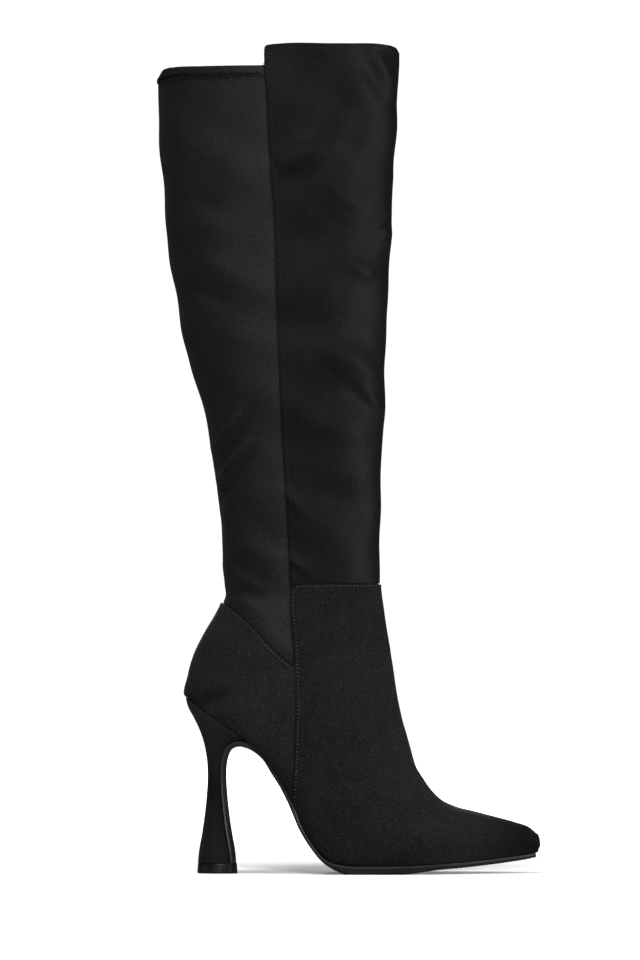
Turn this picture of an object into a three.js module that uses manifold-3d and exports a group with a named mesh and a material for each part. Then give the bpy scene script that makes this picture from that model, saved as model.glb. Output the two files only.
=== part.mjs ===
// Knee-high dress boot for the right foot: pointed toe, waisted heel, stretch panel down the back of the leg.
// Millimetres, +Z up, toe towards +X, outer side of the foot towards -Y.
// The origin is the centre of the top lift's lower face, on the floor.
import * as THREE from "three";
import { mergeVertices } from "three/addons/utils/BufferGeometryUtils.js";
import Module from "manifold-3d";

const wasm = await Module();
wasm.setup();

// Lengths of the last, outside the finished upper
const FOOT_LENGTH = 220; // back of the seat to the tip of the toe, measured level
const SEAT_HEIGHT = 108; // floor to the back of the heel seat
const SEAT_OVERHANG = 19.7; // back of the seat behind the middle of the top lift
const HEEL_WIDTH = 63;
const BALL_WIDTH = 82;
const TOE_SPRING = 7;
const TOE_NOSE = 6; // tip of the toe above the sole's edge there

// The leg
const LEG_HEIGHT = 405.4; // heel seat to the front of the collar
const ANKLE_RISE = 71.2; // heel seat to the seam across the ankle
const ANKLE_INSET = 24.1; // ankle's back in front of the seat's back
const ANKLE_DEPTH = 96.6;
const ANKLE_WIDTH = 62;
const CALF_DEPTH = 151;
const CALF_WIDTH = 84;
const LEG_LEAN = 14.8; // middle of the collar behind the middle of the ankle
const COLLAR_STEP = 14; // stretch panel's edge below the front panel's
const COLLAR_DIP = 5; // how far the collar's ends droop at the front and the back

// Walls and gaps
const UPPER_WALL = 1.2;
const SUEDE = 1.0; // vamp and counter
const LEG_SUEDE = 0.8;
const STRETCH = 0.5;
const HEM_RISE = 0.5;
const HEM_HEIGHT = 5;
const GAP = 0.3; // between any two pieces

// Sole, heel and footbed
const FOREPART = 5.3; // outsole under the ball
const EDGE_RIB = 1.8; // height of the raised rib round the sole's edge
const RIB_RELIEF = 0.5;
const EDGE_BEVEL = 0.9;
const SOLE_MARGIN = 0.4; // sole's edge outside the upper
const FLAP = 3.6; // outsole where it runs down the breast of the heel
const FLAP_BEVEL = 3.0;
const INSOLE = 2.2;
const LASTING_MARGIN = 8; // upper turned in under the foot
const TOP_LIFT = 6.4;
const HEEL_BASE_DEPTH = 24.2;
const HEEL_BASE_WIDTH = 25;
const HEEL_WAIST_DEPTH = 12.1;
const HEEL_WAIST_WIDTH = 14;
const HEEL_SEAT_SHARE = 0.89; // width of the heel's seat as a share of HEEL_WIDTH
const BREAST_TUCK = 0.8; // heel's front edge behind the row where the sole meets it
const BREAST_EDGE = 0.6; // thickness of that edge

// Fineness of the rings, from the front to the widest place and from there to the back or the sole
const UPPER_STEPS = 6;
const LOWER_STEPS = 6;
const EDGE_STEP = 4; // of the lower steps, the one at the edge of the sole

const SUEDE_BLACK = 0x1b1a1b;
const STRETCH_BLACK = 0x242327;

// Places that more than one piece shares
const SOLE_LINE = FOREPART - SUEDE; // lowest line of the last under the ball
const SKIN = SUEDE + GAP; // upper's outer face below the outermost face
const LINING = SKIN + UPPER_WALL; // upper's inner face below the outermost face
const seatBackX = -SEAT_OVERHANG;
const toeX = seatBackX + FOOT_LENGTH;
const ankleZ = SEAT_HEIGHT + ANKLE_RISE;
const collarZ = SEAT_HEIGHT + LEG_HEIGHT;
const ankleBackX = seatBackX + ANKLE_INSET;
const ankleFrontX = ankleBackX + ANKLE_DEPTH;
const toeTipZ = SOLE_LINE + TOE_SPRING + TOE_NOSE + SUEDE;

const lerp = THREE.MathUtils.lerp;
const at = (x, z) => new THREE.Vector2(x, z);

// Sections of the leg, from above the collar down to the ankle.
// up: share of the way from ankle to collar. full: share from the ankle's size to the calf's.
// lean: share of LEG_LEAN.
const LEG = [
  { up: 1.06, full: 1.01, lean: 1.0 },
  { up: 0.92, full: 0.97, lean: 1.03 },
  { up: 0.74, full: 0.866, lean: 1.03 },
  { up: 0.58, full: 0.713, lean: 0.93 },
  { up: 0.47, full: 0.57, lean: 0.777 },
  { up: 0.36, full: 0.368, lean: 0.48 },
  { up: 0.25, full: 0.178, lean: 0.24 },
  { up: 0.11, full: 0.062, lean: 0.09 },
  { up: 0, full: 0, lean: 0 },
];

// Sections whose back ends run down the counter.
// out: share of ANKLE_INSET. drop: share of ANKLE_RISE. Both are counted from the back of the ankle.
// along, fall: shares of the way down the instep from the ankle's front to the toe, level and upright.
// wide: share of HEEL_WIDTH. widest: where the section is widest, as a share from its back end.
const COUNTER = [
  { out: -0.03, drop: 0.1, along: 0.005, fall: 0.028, wide: 0.985, widest: 0.49 },
  { out: 0.07, drop: 0.16, along: 0.009, fall: 0.045, wide: 0.99, widest: 0.48 },
  { out: 0.27, drop: 0.28, along: 0.019, fall: 0.082, wide: 1.0, widest: 0.46 },
  { out: 0.55, drop: 0.44, along: 0.027, fall: 0.116, wide: 1.01, widest: 0.43 },
  { out: 0.78, drop: 0.6, along: 0.034, fall: 0.145, wide: 1.02, widest: 0.4 },
  { out: 0.94, drop: 0.78, along: 0.042, fall: 0.176, wide: 1.02, widest: 0.36 },
  { out: 1, drop: 1, along: 0.053, fall: 0.216, wide: 1.0, widest: 0.3 },
];

// Sections whose lower ends run along the sole, from the heel seat to the toe.
// run: share of FOOT_LENGTH. lift: share of the seat's height. spring: share of TOE_SPRING.
// ball: share from HEEL_WIDTH to BALL_WIDTH, times lateral and medial for the two sides.
// sway: the middle's shift towards the inner side, as a share of BALL_WIDTH.
// edge: where the side meets the sole, as a share of the half width. flat: 1 for a level underside.
// thick: outsole, as a share of FOREPART. tuck: outsole's width as a share of the edge's.
const FOOT = [
  // run, lift, spring, along, fall, ball, lateral, medial, sway, widest, edge, flat, thick, tuck
  [0.019, 0.97, 0, 0.059, 0.237, 0, 1.0, 1.0, 0, 0.3, 0.44, 0.8, 0.4, 0.75],
  [0.062, 0.905, 0, 0.067, 0.272, 0, 1.01, 1.0, 0, 0.31, 0.74, 1, 0.4, 0.75],
  [0.117, 0.822, 0, 0.08, 0.321, 0, 1.01, 1.0, 0, 0.32, 0.86, 1, 0.4, 0.75],
  [0.17, 0.74, 0, 0.095, 0.387, 0, 1.01, 0.98, 0, 0.33, 0.88, 1, 0.72, 0.88],
  [0.213, 0.66, 0, 0.11, 0.443, 0, 1.01, 0.97, 0, 0.34, 0.86, 1, 0.31, 0.87],
  [0.248, 0.562, 0, 0.127, 0.492, 0.1, 0.985, 0.925, 0, 0.33, 0.84, 1, 0.46, 0.86],
  [0.279, 0.457, 0, 0.143, 0.533, 0.2, 0.975, 0.885, 0, 0.33, 0.82, 1, 0.48, 0.88],
  [0.304, 0.347, 0, 0.16, 0.568, 0.35, 0.965, 0.86, 0, 0.33, 0.82, 1, 0.52, 0.98],
  [0.325, 0.235, 0, 0.175, 0.601, 0.5, 0.965, 0.855, 0, 0.32, 0.84, 1, 0.47, 1],
  [0.355, 0.129, 0, 0.19, 0.635, 0.65, 0.97, 0.865, 0, 0.32, 0.86, 1, 0.45, 1],
  [0.4, 0.03, 0, 0.205, 0.669, 0.8, 0.975, 0.885, 0, 0.32, 0.88, 1, 0.56, 1],
  [0.454, 0.003, 0, 0.224, 0.704, 0.9, 0.985, 0.91, 0, 0.32, 0.89, 1, 1.1, 1],
  [0.531, 0, 0, 0.261, 0.741, 1, 1.0, 0.94, 0.006, 0.32, 0.89, 1, 1.06, 1],
  [0.618, 0, 0.03, 0.331, 0.801, 1, 0.99, 0.94, 0.018, 0.33, 0.89, 1, 1.05, 1],
  [0.661, 0, 0.08, 0.385, 0.832, 1, 0.945, 0.915, 0.027, 0.34, 0.89, 1, 0.88, 1],
  [0.704, 0, 0.14, 0.456, 0.853, 1, 0.88, 0.865, 0.037, 0.35, 0.89, 1, 0.72, 1],
  [0.786, 0, 0.29, 0.591, 0.876, 1, 0.695, 0.72, 0.055, 0.38, 0.89, 1, 0.64, 1],
  [0.863, 0, 0.52, 0.732, 0.899, 1, 0.5, 0.535, 0.073, 0.4, 0.88, 1, 0.62, 1],
  [0.923, 0, 0.74, 0.848, 0.919, 1, 0.355, 0.39, 0.085, 0.42, 0.87, 1, 0.6, 1],
  [0.959, 0, 0.88, 0.929, 0.937, 1, 0.27, 0.305, 0.091, 0.45, 0.86, 1, 0.57, 0.98],
  [0.982, 0, 1.0, 0.98, 0.963, 1, 0.205, 0.235, 0.091, 0.48, 0.82, 0.9, 0.52, 0.94],
  [0.994, 0, 1.2, 1, 1, 1, 0.1, 0.11, 0.091, 0.5, 0.8, 0, 0.5, 0.8],
].map(([run, lift, spring, along, fall, ball, lateral, medial, sway, widest, edge, flat, thick, tuck]) => (
  { run, lift, spring, along, fall, ball, lateral, medial, sway, widest, edge, flat, thick, tuck }
));
const FIRST_ARCH_ROW = 3; // the sole meets the breast of the heel here
const LAST_SOLE_ROW = FOOT.length - 2;

// Rings of the heel, from the top lift up to the seat. up_back, up_front: shares of the heel's
// height at its back and at its breast. base, seat_back, seat_front, seat_wide: shares from the
// waist's size to the base's and to the seat's.
const HEEL = [
  { up_back: 0, up_front: 0, base: 1, seat_back: 0, seat_front: 0, seat_wide: 0 },
  { up_back: 0.075, up_front: 0.101, base: 0.88, seat_back: 0, seat_front: 0, seat_wide: 0 },
  { up_back: 0.185, up_front: 0.249, base: 0.56, seat_back: 0, seat_front: 0, seat_wide: 0 },
  { up_back: 0.295, up_front: 0.398, base: 0.3, seat_back: 0, seat_front: 0, seat_wide: 0 },
  { up_back: 0.418, up_front: 0.563, base: 0.09, seat_back: 0, seat_front: 0, seat_wide: 0 },
  { up_back: 0.526, up_front: 0.709, base: 0, seat_back: 0, seat_front: 0, seat_wide: 0.01 },
  { up_back: 0.625, up_front: 0.815, base: 0, seat_back: 0.036, seat_front: 0.026, seat_wide: 0.07 },
  { up_back: 0.704, up_front: 0.895, base: 0, seat_back: 0.13, seat_front: 0.116, seat_wide: 0.2 },
  { up_back: 0.798, up_front: 0.955, base: 0, seat_back: 0.35, seat_front: 0.277, seat_wide: 0.41 },
  { up_back: 0.877, up_front: 0.988, base: 0, seat_back: 0.63, seat_front: 0.535, seat_wide: 0.64 },
  { up_back: 0.946, up_front: 0.997, base: 0, seat_back: 0.9, seat_front: 0.79, seat_wide: 0.85 },
  { up_back: 1, up_front: 1, base: 0, seat_back: 1, seat_front: 1, seat_wide: 1 },
];

// A point of a cubic Bezier whose four points are Vector3.
function bezier(a, b, c, d, t) {
  const s = 1 - t;
  return new THREE.Vector3()
    .addScaledVector(a, s * s * s)
    .addScaledVector(b, 3 * s * s * t)
    .addScaledVector(c, 3 * s * t * t)
    .addScaledVector(d, t * t * t);
}

// Points down one side of a section, from its front to just before its back end.
const ROUND = 0.56; // handle of a quarter circle
const RIDGE = 0.5; // the same along the front, for a slightly pinched shin and instep
function sidePoints({ front, back, sway, widest, flat, edge, ridge, shoulder }, halfWidth) {
  const place = (share, y) => {
    const p = back.clone().lerp(front, share);
    return new THREE.Vector3(p.x, sway + y * halfWidth, p.y);
  };
  const side = place(widest, 1);
  const upper = [place(1, 0), place(1, ridge), place(lerp(widest, 1, shoulder), 1), side];
  const round = [side, place(widest * (1 - ROUND), 1), place(0, ROUND), place(0, 0)];
  const square = [side, place(widest * 0.5, 1), place(widest * 0.12, lerp(edge, 1, edge)), place(0, edge)];
  const points = [];
  for (let i = 0; i < UPPER_STEPS; i++) points.push(bezier(...upper, i / UPPER_STEPS));
  for (let i = 0; i < LOWER_STEPS; i++) {
    const rounded = bezier(...round, i / LOWER_STEPS);
    const squared = i <= EDGE_STEP
      ? bezier(...square, i / EDGE_STEP)
      : place(0, edge * (LOWER_STEPS - i) / (LOWER_STEPS - EDGE_STEP));
    points.push(rounded.lerp(squared, flat));
  }
  return points;
}

// A closed ring of points: front, outer side, back, inner side.
const ROUNDED = { flat: 0, edge: 1, ridge: RIDGE, shoulder: ROUND, sway: 0 };
function ringOf(section) {
  const full = { ...ROUNDED, ...section };
  const outer = sidePoints(full, -full.lateral);
  const inner = sidePoints(full, full.medial);
  const { back, sway } = full;
  return [...outer, new THREE.Vector3(back.x, sway, back.y), ...inner.slice(1).reverse()];
}

const legSection = ({ up, full, lean }) => {
  const z = lerp(ankleZ, collarZ, up);
  const depth = lerp(ANKLE_DEPTH, CALF_DEPTH, full);
  const half = lerp(ANKLE_WIDTH, CALF_WIDTH, full) / 2;
  const middle = (ankleBackX + ankleFrontX) / 2 - lean * LEG_LEAN;
  return {
    front: at(middle + depth / 2, z),
    back: at(middle - depth / 2, z),
    lateral: half, medial: half, widest: 0.5,
  };
};

const instepPoint = ({ along, fall }) => at(lerp(ankleFrontX, toeX, along), lerp(ankleZ, toeTipZ, fall));

const counterSection = (row) => ({
  front: instepPoint(row),
  back: at(ankleBackX - row.out * ANKLE_INSET, ankleZ - row.drop * ANKLE_RISE),
  lateral: (row.wide * HEEL_WIDTH) / 2,
  medial: (row.wide * HEEL_WIDTH) / 2,
  widest: row.widest,
});

const footSection = (row) => {
  const half = lerp(HEEL_WIDTH, BALL_WIDTH, row.ball) / 2;
  const z = SOLE_LINE + row.lift * (SEAT_HEIGHT - SOLE_LINE) + row.spring * TOE_SPRING;
  return {
    front: instepPoint(row),
    back: at(seatBackX + row.run * FOOT_LENGTH, z),
    lateral: row.lateral * half,
    medial: row.medial * half,
    sway: row.sway * BALL_WIDTH, widest: row.widest, flat: row.flat, edge: row.edge,
  };
};

const legSections = LEG.map(legSection);
const counterSections = COUNTER.map(counterSection);
const footSections = FOOT.map(footSection);
const lastRings = [...legSections, ...counterSections, ...footSections].map(ringOf);
const firstFootRing = legSections.length - 1;

// The closed solid of a geometry, facing outwards.
function solid(geometry) {
  geometry.deleteAttribute("normal");
  geometry.deleteAttribute("uv");
  const merged = mergeVertices(geometry, 1e-5);
  return new wasm.Manifold(new wasm.Mesh({
    numProp: 3,
    vertProperties: new Float32Array(merged.attributes.position.array),
    triVerts: new Uint32Array(merged.index.array),
  }));
}

// Unit normals of the faces that meet at a place on a grid of rings.
function normalsAt(rings, i, j) {
  const p = rings[i][j];
  const n = rings[i].length;
  const rows = [rings[i - 1]?.[j].clone().sub(p).negate(), rings[i + 1]?.[j].clone().sub(p)].filter(Boolean);
  const sides = [p.clone().sub(rings[i][(j + n - 1) % n]), rings[i][(j + 1) % n].clone().sub(p)];
  return rows.flatMap((lengthwise) => sides.map((round) => round.clone().cross(lengthwise).normalize()));
}

// Rings moved inwards by depth, further where faces meet at a corner.
const SHARPEST = 0.62; // cosine that caps how far a corner is moved
function inset(rings, depth) {
  return rings.map((ring, i) => ring.map((p, j) => {
    const normals = normalsAt(rings, i, j);
    const out = normals.reduce((sum, n) => sum.add(n), new THREE.Vector3()).normalize();
    const spread = Math.max(SHARPEST, Math.min(...normals.map((n) => n.dot(out))));
    return p.clone().addScaledVector(out, -depth / spread);
  }));
}

// The closed solid through a list of rings, with flat ends. Rings may run either way round, and
// each patch is split along its shorter diagonal.
function loft(rings) {
  const n = rings[0].length;
  const positions = [];
  const index = [];
  for (const ring of rings) for (const p of ring) positions.push(p.x, p.y, p.z);
  for (let i = 0; i + 1 < rings.length; i++) {
    for (let j = 0; j < n; j++) {
      const k = (j + 1) % n;
      const [a, b] = [i * n + j, i * n + k];
      const backward = rings[i + 1][j].distanceTo(rings[i][k]);
      const forward = rings[i][j].distanceTo(rings[i + 1][k]);
      if (backward <= forward) index.push(a, a + n, b, b, a + n, b + n);
      else index.push(a, a + n, b + n, a, b + n, b);
    }
  }
  for (const [ring, flip] of [[0, false], [rings.length - 1, true]]) {
    const middle = rings[ring].reduce((sum, p) => sum.add(p), new THREE.Vector3()).divideScalar(n);
    const hub = positions.push(middle.x, middle.y, middle.z) / 3 - 1;
    for (let j = 0; j < n; j++) {
      const [a, b] = [ring * n + j, ring * n + ((j + 1) % n)];
      index.push(hub, flip ? b : a, flip ? a : b);
    }
  }
  const corner = (k) => new THREE.Vector3().fromArray(positions, index[k] * 3);
  let volume = 0;
  for (let k = 0; k < index.length; k += 3) volume += corner(k).dot(corner(k + 1).cross(corner(k + 2)));
  if (volume < 0) index.reverse();
  const geometry = new THREE.BufferGeometry();
  geometry.setAttribute("position", new THREE.Float32BufferAttribute(positions, 3));
  geometry.setIndex(index);
  return solid(geometry);
}

// A prism through the whole width of the boot, from its outline seen from the side.
const CUTTER_WIDTH = 200;
function sidePrism(outline) {
  const geometry = new THREE.ExtrudeGeometry(new THREE.Shape(outline), {
    depth: CUTTER_WIDTH, bevelEnabled: false, curveSegments: 6,
  });
  geometry.rotateX(Math.PI / 2);
  geometry.translate(0, CUTTER_WIDTH / 2, 0);
  return solid(geometry);
}

// The line under the foot, moved in by depth, with both ends carried on straight.
const RUN_OUT = 60;
const solePoints = [counterSections.at(-1), ...footSections.slice(0, LAST_SOLE_ROW + 1)].map((s) => s.back);
function soleLine(depth) {
  const moved = solePoints.map((p, i) => {
    const ahead = solePoints[Math.min(i + 1, solePoints.length - 1)];
    const behind = solePoints[Math.max(i - 1, 0)];
    const t = ahead.clone().sub(behind).normalize();
    return at(p.x - t.y * depth, p.y + t.x * depth);
  });
  const extend = (end, next) => end.clone().add(end.clone().sub(next).setLength(RUN_OUT));
  return [extend(moved[0], moved[1]), ...moved, extend(moved.at(-1), moved.at(-2))];
}

// Height of a line that runs forward, at a place along X.
function heightAt(line, x) {
  const i = Math.max(1, line.findIndex((p) => p.x >= x));
  return THREE.MathUtils.mapLinear(x, line[i - 1].x, line[i].x, line[i - 1].y, line[i].y);
}

// Everything under the foot, up to depth above the line of the last.
function underFoot(depth) {
  const line = soleLine(depth);
  return sidePrism([at(line[0].x, -RUN_OUT), ...line, at(line.at(-1).x, -RUN_OUT)]);
}

// The side seam from the top down, as seen from the side.
const SEAM_AT_COLLAR = 0.441; // shares of the depth, from the back
const SEAM_AT_ANKLE = 0.42;
const SEAM_AT_SOLE = 0.297; // share of FOOT_LENGTH
const SEAM_BULGE = 2.2; // forward swell of the seam beside the heel
const collarBackX = legSections[0].back.x;
const seamLine = [
  at(lerp(collarBackX, legSections[0].front.x, SEAM_AT_COLLAR), collarZ + RUN_OUT),
  at(lerp(collarBackX, legSections[0].front.x, SEAM_AT_COLLAR), collarZ),
  at(ankleBackX + SEAM_AT_ANKLE * ANKLE_DEPTH, ankleZ),
  at(seatBackX + SEAM_AT_SOLE * FOOT_LENGTH + SEAM_BULGE, SEAT_HEIGHT),
  at(seatBackX + SEAM_AT_SOLE * FOOT_LENGTH + SEAM_BULGE, SEAT_HEIGHT * 0.6),
  at(seatBackX + SEAM_AT_SOLE * FOOT_LENGTH, SEAT_HEIGHT * 0.37),
  at(seatBackX + SEAM_AT_SOLE * FOOT_LENGTH, -RUN_OUT),
];
const FAR = 400;
const inFrontOfSeam = (gap) => sidePrism([
  ...seamLine.map((p) => at(p.x + gap, p.y)), at(FAR, -RUN_OUT), at(FAR, collarZ + RUN_OUT),
]);
const behindSeam = (gap) => sidePrism([
  ...seamLine.map((p) => at(p.x - gap, p.y)), at(-FAR, -RUN_OUT), at(-FAR, collarZ + RUN_OUT),
]);

// The counter's top edge, from behind the heel to the side seam. Shares from the ankle's back to
// the seam, and down from the ankle seam to where the edge ends.
const COUNTER_TOP = [
  { along: 0, fall: 0.19 },
  { along: 0.18, fall: 0.31 },
  { along: 0.4, fall: 0.51 },
  { along: 0.62, fall: 0.72 },
  { along: 0.82, fall: 0.88 },
  { along: 1, fall: 1 },
];
const COUNTER_DROP = 51; // ankle seam to the counter's lowest point at the side seam
const COUNTER_OVERRUN = 2; // the edge starts this far behind the back of the ankle
const counterEdge = COUNTER_TOP.map(({ along, fall }) => at(
  lerp(ankleBackX - COUNTER_OVERRUN, seamLine[3].x, along), ankleZ - fall * COUNTER_DROP,
));
const underCounterEdge = (shift) => sidePrism([
  at(-FAR, counterEdge[0].y + shift), ...counterEdge.map((p) => at(p.x, p.y + shift)),
  at(FAR, counterEdge.at(-1).y + shift), at(FAR, -RUN_OUT), at(-FAR, -RUN_OUT),
]);
const belowAnkleSeam = (shift) => sidePrism([
  at(-FAR, ankleZ + shift), at(FAR, ankleZ + shift), at(FAR, -RUN_OUT), at(-FAR, -RUN_OUT),
]);

// What lies above a collar edge that is level but droops at its end, over a stretch of the leg.
function aboveCollar(level, endX, outwards) {
  const droop = new THREE.Shape();
  const innerX = endX - outwards * COLLAR_DIP * 1.6;
  droop.moveTo(innerX - outwards * FAR, level);
  droop.lineTo(innerX, level);
  droop.quadraticCurveTo(endX, level, endX + outwards * GAP, level - COLLAR_DIP);
  droop.lineTo(endX + outwards * FAR, level - COLLAR_DIP);
  droop.lineTo(endX + outwards * FAR, collarZ + RUN_OUT * 2);
  droop.lineTo(innerX - outwards * FAR, collarZ + RUN_OUT * 2);
  return sidePrism(droop.getPoints(4));
}
const backCollarZ = collarZ - COLLAR_STEP;
const collarEnds = {
  front: lerp(legSections[1].front.x, legSections[0].front.x, 0.6),
  back: lerp(legSections[1].back.x, legSections[0].back.x, 0.6),
};
const aboveFrontCollar = aboveCollar(collarZ, collarEnds.front, 1);
const aboveBackCollar = (drop) => aboveCollar(backCollarZ - drop, collarEnds.back, -1);

// A solid shaped like the last, its face moved in by depth, between two rows of sections.
const lastSolid = (depth, from = 0, to = lastRings.length - 1) =>
  loft(inset(lastRings, depth).slice(from, to + 1));

// A leg or foot panel: the skin between two depths.
const LEG_ROWS = [0, legSections.length];
const panelSkin = (outer, inner, from, to) => lastSolid(outer, from, to).subtract(lastSolid(inner));

// The upper: one hollow wall from the collar to the sole, open above and below.
function makeUpper() {
  const opening = loft(openingRings());
  const mouthBehind = aboveBackCollar(0).intersect(behindSeam(0));
  return lastSolid(SKIN)
    .subtract(lastSolid(LINING))
    .subtract(aboveFrontCollar)
    .subtract(mouthBehind)
    .subtract(opening);
}

// Rings of a flat strip that follows the sole. profile: rows of inset and depth, from the top down.
function stripRing(point, normal, lateral, medial, sway, profile) {
  const place = (y, depth) => new THREE.Vector3(point.x + normal.x * depth, sway + y, point.y + normal.y * depth);
  const outer = profile.map(([edge, depth]) => place(-(lateral - edge), depth));
  const inner = profile.map(([edge, depth]) => place(medial - edge, depth));
  return [...outer, ...inner.reverse()];
}

// Unit vectors to the right of a path seen from the side, so out of the foot for the sole's line.
const outOf = (path) => path.map((p, i) => {
  const t = path[Math.min(i + 1, path.length - 1)].clone().sub(path[Math.max(i - 1, 0)]).normalize();
  return at(t.y, -t.x);
});
const outOfFoot = outOf(solePoints).slice(1);

// The hole in the upper's underside, inside the turned-in margin.
const OPENING_ROWS = [1, LAST_SOLE_ROW - 2];
function openingRings() {
  const rings = [];
  for (let i = OPENING_ROWS[0]; i <= OPENING_ROWS[1]; i++) {
    const { back, lateral, medial, sway, edge } = footSections[i];
    const side = (half) => half * edge - SKIN - LASTING_MARGIN;
    rings.push(stripRing(back, outOfFoot[i], side(lateral), side(medial), sway, [[0, -LINING - 1], [0, 1]]));
  }
  return rings;
}

// The vamp: front of the foot from the side seams to the toe, up to the ankle seam.
function makeVamp() {
  return panelSkin(0, SUEDE, firstFootRing - 1)
    .intersect(inFrontOfSeam(GAP / 2))
    .intersect(belowAnkleSeam(-GAP / 2))
    .subtract(underFoot(SUEDE + GAP));
}

// The counter: round the back of the heel, under its slanting top edge.
function makeCounter() {
  return panelSkin(0, SUEDE, firstFootRing - 1)
    .intersect(behindSeam(GAP / 2))
    .intersect(underCounterEdge(-GAP / 2))
    .subtract(underFoot(SUEDE + GAP));
}

// The front leg panel, from the ankle seam to the collar.
function makeFrontPanel() {
  return panelSkin(SUEDE - LEG_SUEDE, SUEDE, LEG_ROWS[0], LEG_ROWS[1])
    .intersect(inFrontOfSeam(GAP / 2))
    .subtract(belowAnkleSeam(GAP / 2))
    .subtract(aboveFrontCollar);
}

// The stretch panel down the back of the leg, with the hem along its top as a step in its wall.
function makeStretchPanel() {
  const lastRow = firstFootRing + COUNTER.length;
  const place = (skin) => skin.intersect(behindSeam(GAP / 2)).subtract(aboveBackCollar(0));
  const hem = place(panelSkin(SUEDE - STRETCH - HEM_RISE, SUEDE, 0, 2)).intersect(aboveBackCollar(HEM_HEIGHT));
  return place(panelSkin(SUEDE - STRETCH, SUEDE, 0, lastRow))
    .subtract(underCounterEdge(GAP / 2))
    .add(hem);
}

// The footbed: a plate on the turned-in margin, filling the upper from side to side.
const INSOLE_ROWS = [0, LAST_SOLE_ROW - 1];
const INSOLE_HEEL = [0.46, 0.68, 0.82, 0.93, 0.98]; // widths of the first rows, as shares, to round its back end
const INSOLE_BACK = { behind: 0.7, share: 0.22 }; // one more row behind the first
function makeInsole() {
  const rest = LINING + GAP;
  const ring = (point, i, share) => {
    const { lateral, medial, sway, edge } = footSections[i];
    const side = (half) => (half * edge - rest - GAP) * share;
    return stripRing(point, outOfFoot[i], side(lateral), side(medial), sway, [[0, -rest - INSOLE], [0, -rest]]);
  };
  const [first, last] = INSOLE_ROWS;
  const points = footSections.map((section) => section.back);
  const behind = points[first].clone().sub(points[first + 1]).setLength(INSOLE_BACK.behind).add(points[first]);
  const rings = [ring(behind, first, INSOLE_BACK.share)];
  for (let i = first; i <= last; i++) rings.push(ring(points[i], i, INSOLE_HEEL[i] ?? 1));
  return loft(rings);
}

// Centre lines of the heel's rings: back and breast as seen from the side.
const BASE_WIDEST = 0.55; // where the rings are widest, as a share of their depth from the back
const SEAT_WIDEST = 0.75;
const breastX = footSections[FIRST_ARCH_ROW].back.x - BREAST_TUCK;
const breastTop = at(breastX, heightAt(soleLine(SUEDE), breastX) - BREAST_EDGE);
function heelRow({ up_back, up_front, base, seat_back, seat_front, seat_wide }) {
  const backX = -lerp(HEEL_WAIST_DEPTH / 2, HEEL_BASE_DEPTH / 2, base);
  const flapX = lerp(HEEL_WAIST_DEPTH / 2, HEEL_BASE_DEPTH / 2, base) - FLAP - GAP;
  const seatTop = SEAT_HEIGHT + SUEDE;
  const seatHalf = (HEEL_SEAT_SHARE * HEEL_WIDTH) / 2;
  const foot = TOP_LIFT + GAP;
  return {
    back: at(lerp(backX, seatBackX, seat_back), lerp(foot, seatTop, up_back)),
    front: at(lerp(flapX, breastTop.x, seat_front), lerp(foot, breastTop.y, up_front)),
    half: lerp(lerp(HEEL_WAIST_WIDTH, HEEL_BASE_WIDTH, base) / 2, seatHalf, seat_wide),
    widest: lerp(BASE_WIDEST, SEAT_WIDEST, seat_wide),
  };
}
const heelRows = HEEL.map(heelRow);
const BREAST_CORNERS = { ridge: 0.9, shoulder: 0.78 };
const heelRing = ({ front, back, half, widest }, corners = BREAST_CORNERS) => ringOf({
  front, back, lateral: half, medial: half, widest, ...corners,
});

// The heel: a waisted block whose seat follows the foot.
const SEAT_OVERCUT = 5;
function makeHeel() {
  const rings = heelRows.map((row) => heelRing(row));
  const top = heelRows.at(-1);
  const lid = heelRing({
    ...top, front: at(top.front.x, top.front.y + SEAT_OVERCUT), back: at(top.back.x, top.back.y + SEAT_OVERCUT),
  });
  return loft([...rings, lid]).intersect(underFoot(SUEDE));
}

// The top lift: the heel's base outline with the flap's thickness, slightly wider at the floor.
const LIFT_FLARE = 0.4;
function makeTopLift() {
  const lift = (z, grow) => heelRing({
    front: at(HEEL_BASE_DEPTH / 2 + grow, z), back: at(-HEEL_BASE_DEPTH / 2 - grow, z),
    half: HEEL_BASE_WIDTH / 2 + grow, widest: BASE_WIDEST,
  }, { ridge: 0.7, shoulder: 0.62 });
  return loft([lift(0, LIFT_FLARE - GAP), lift(GAP, LIFT_FLARE), lift(TOP_LIFT, 0)]);
}

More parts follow.
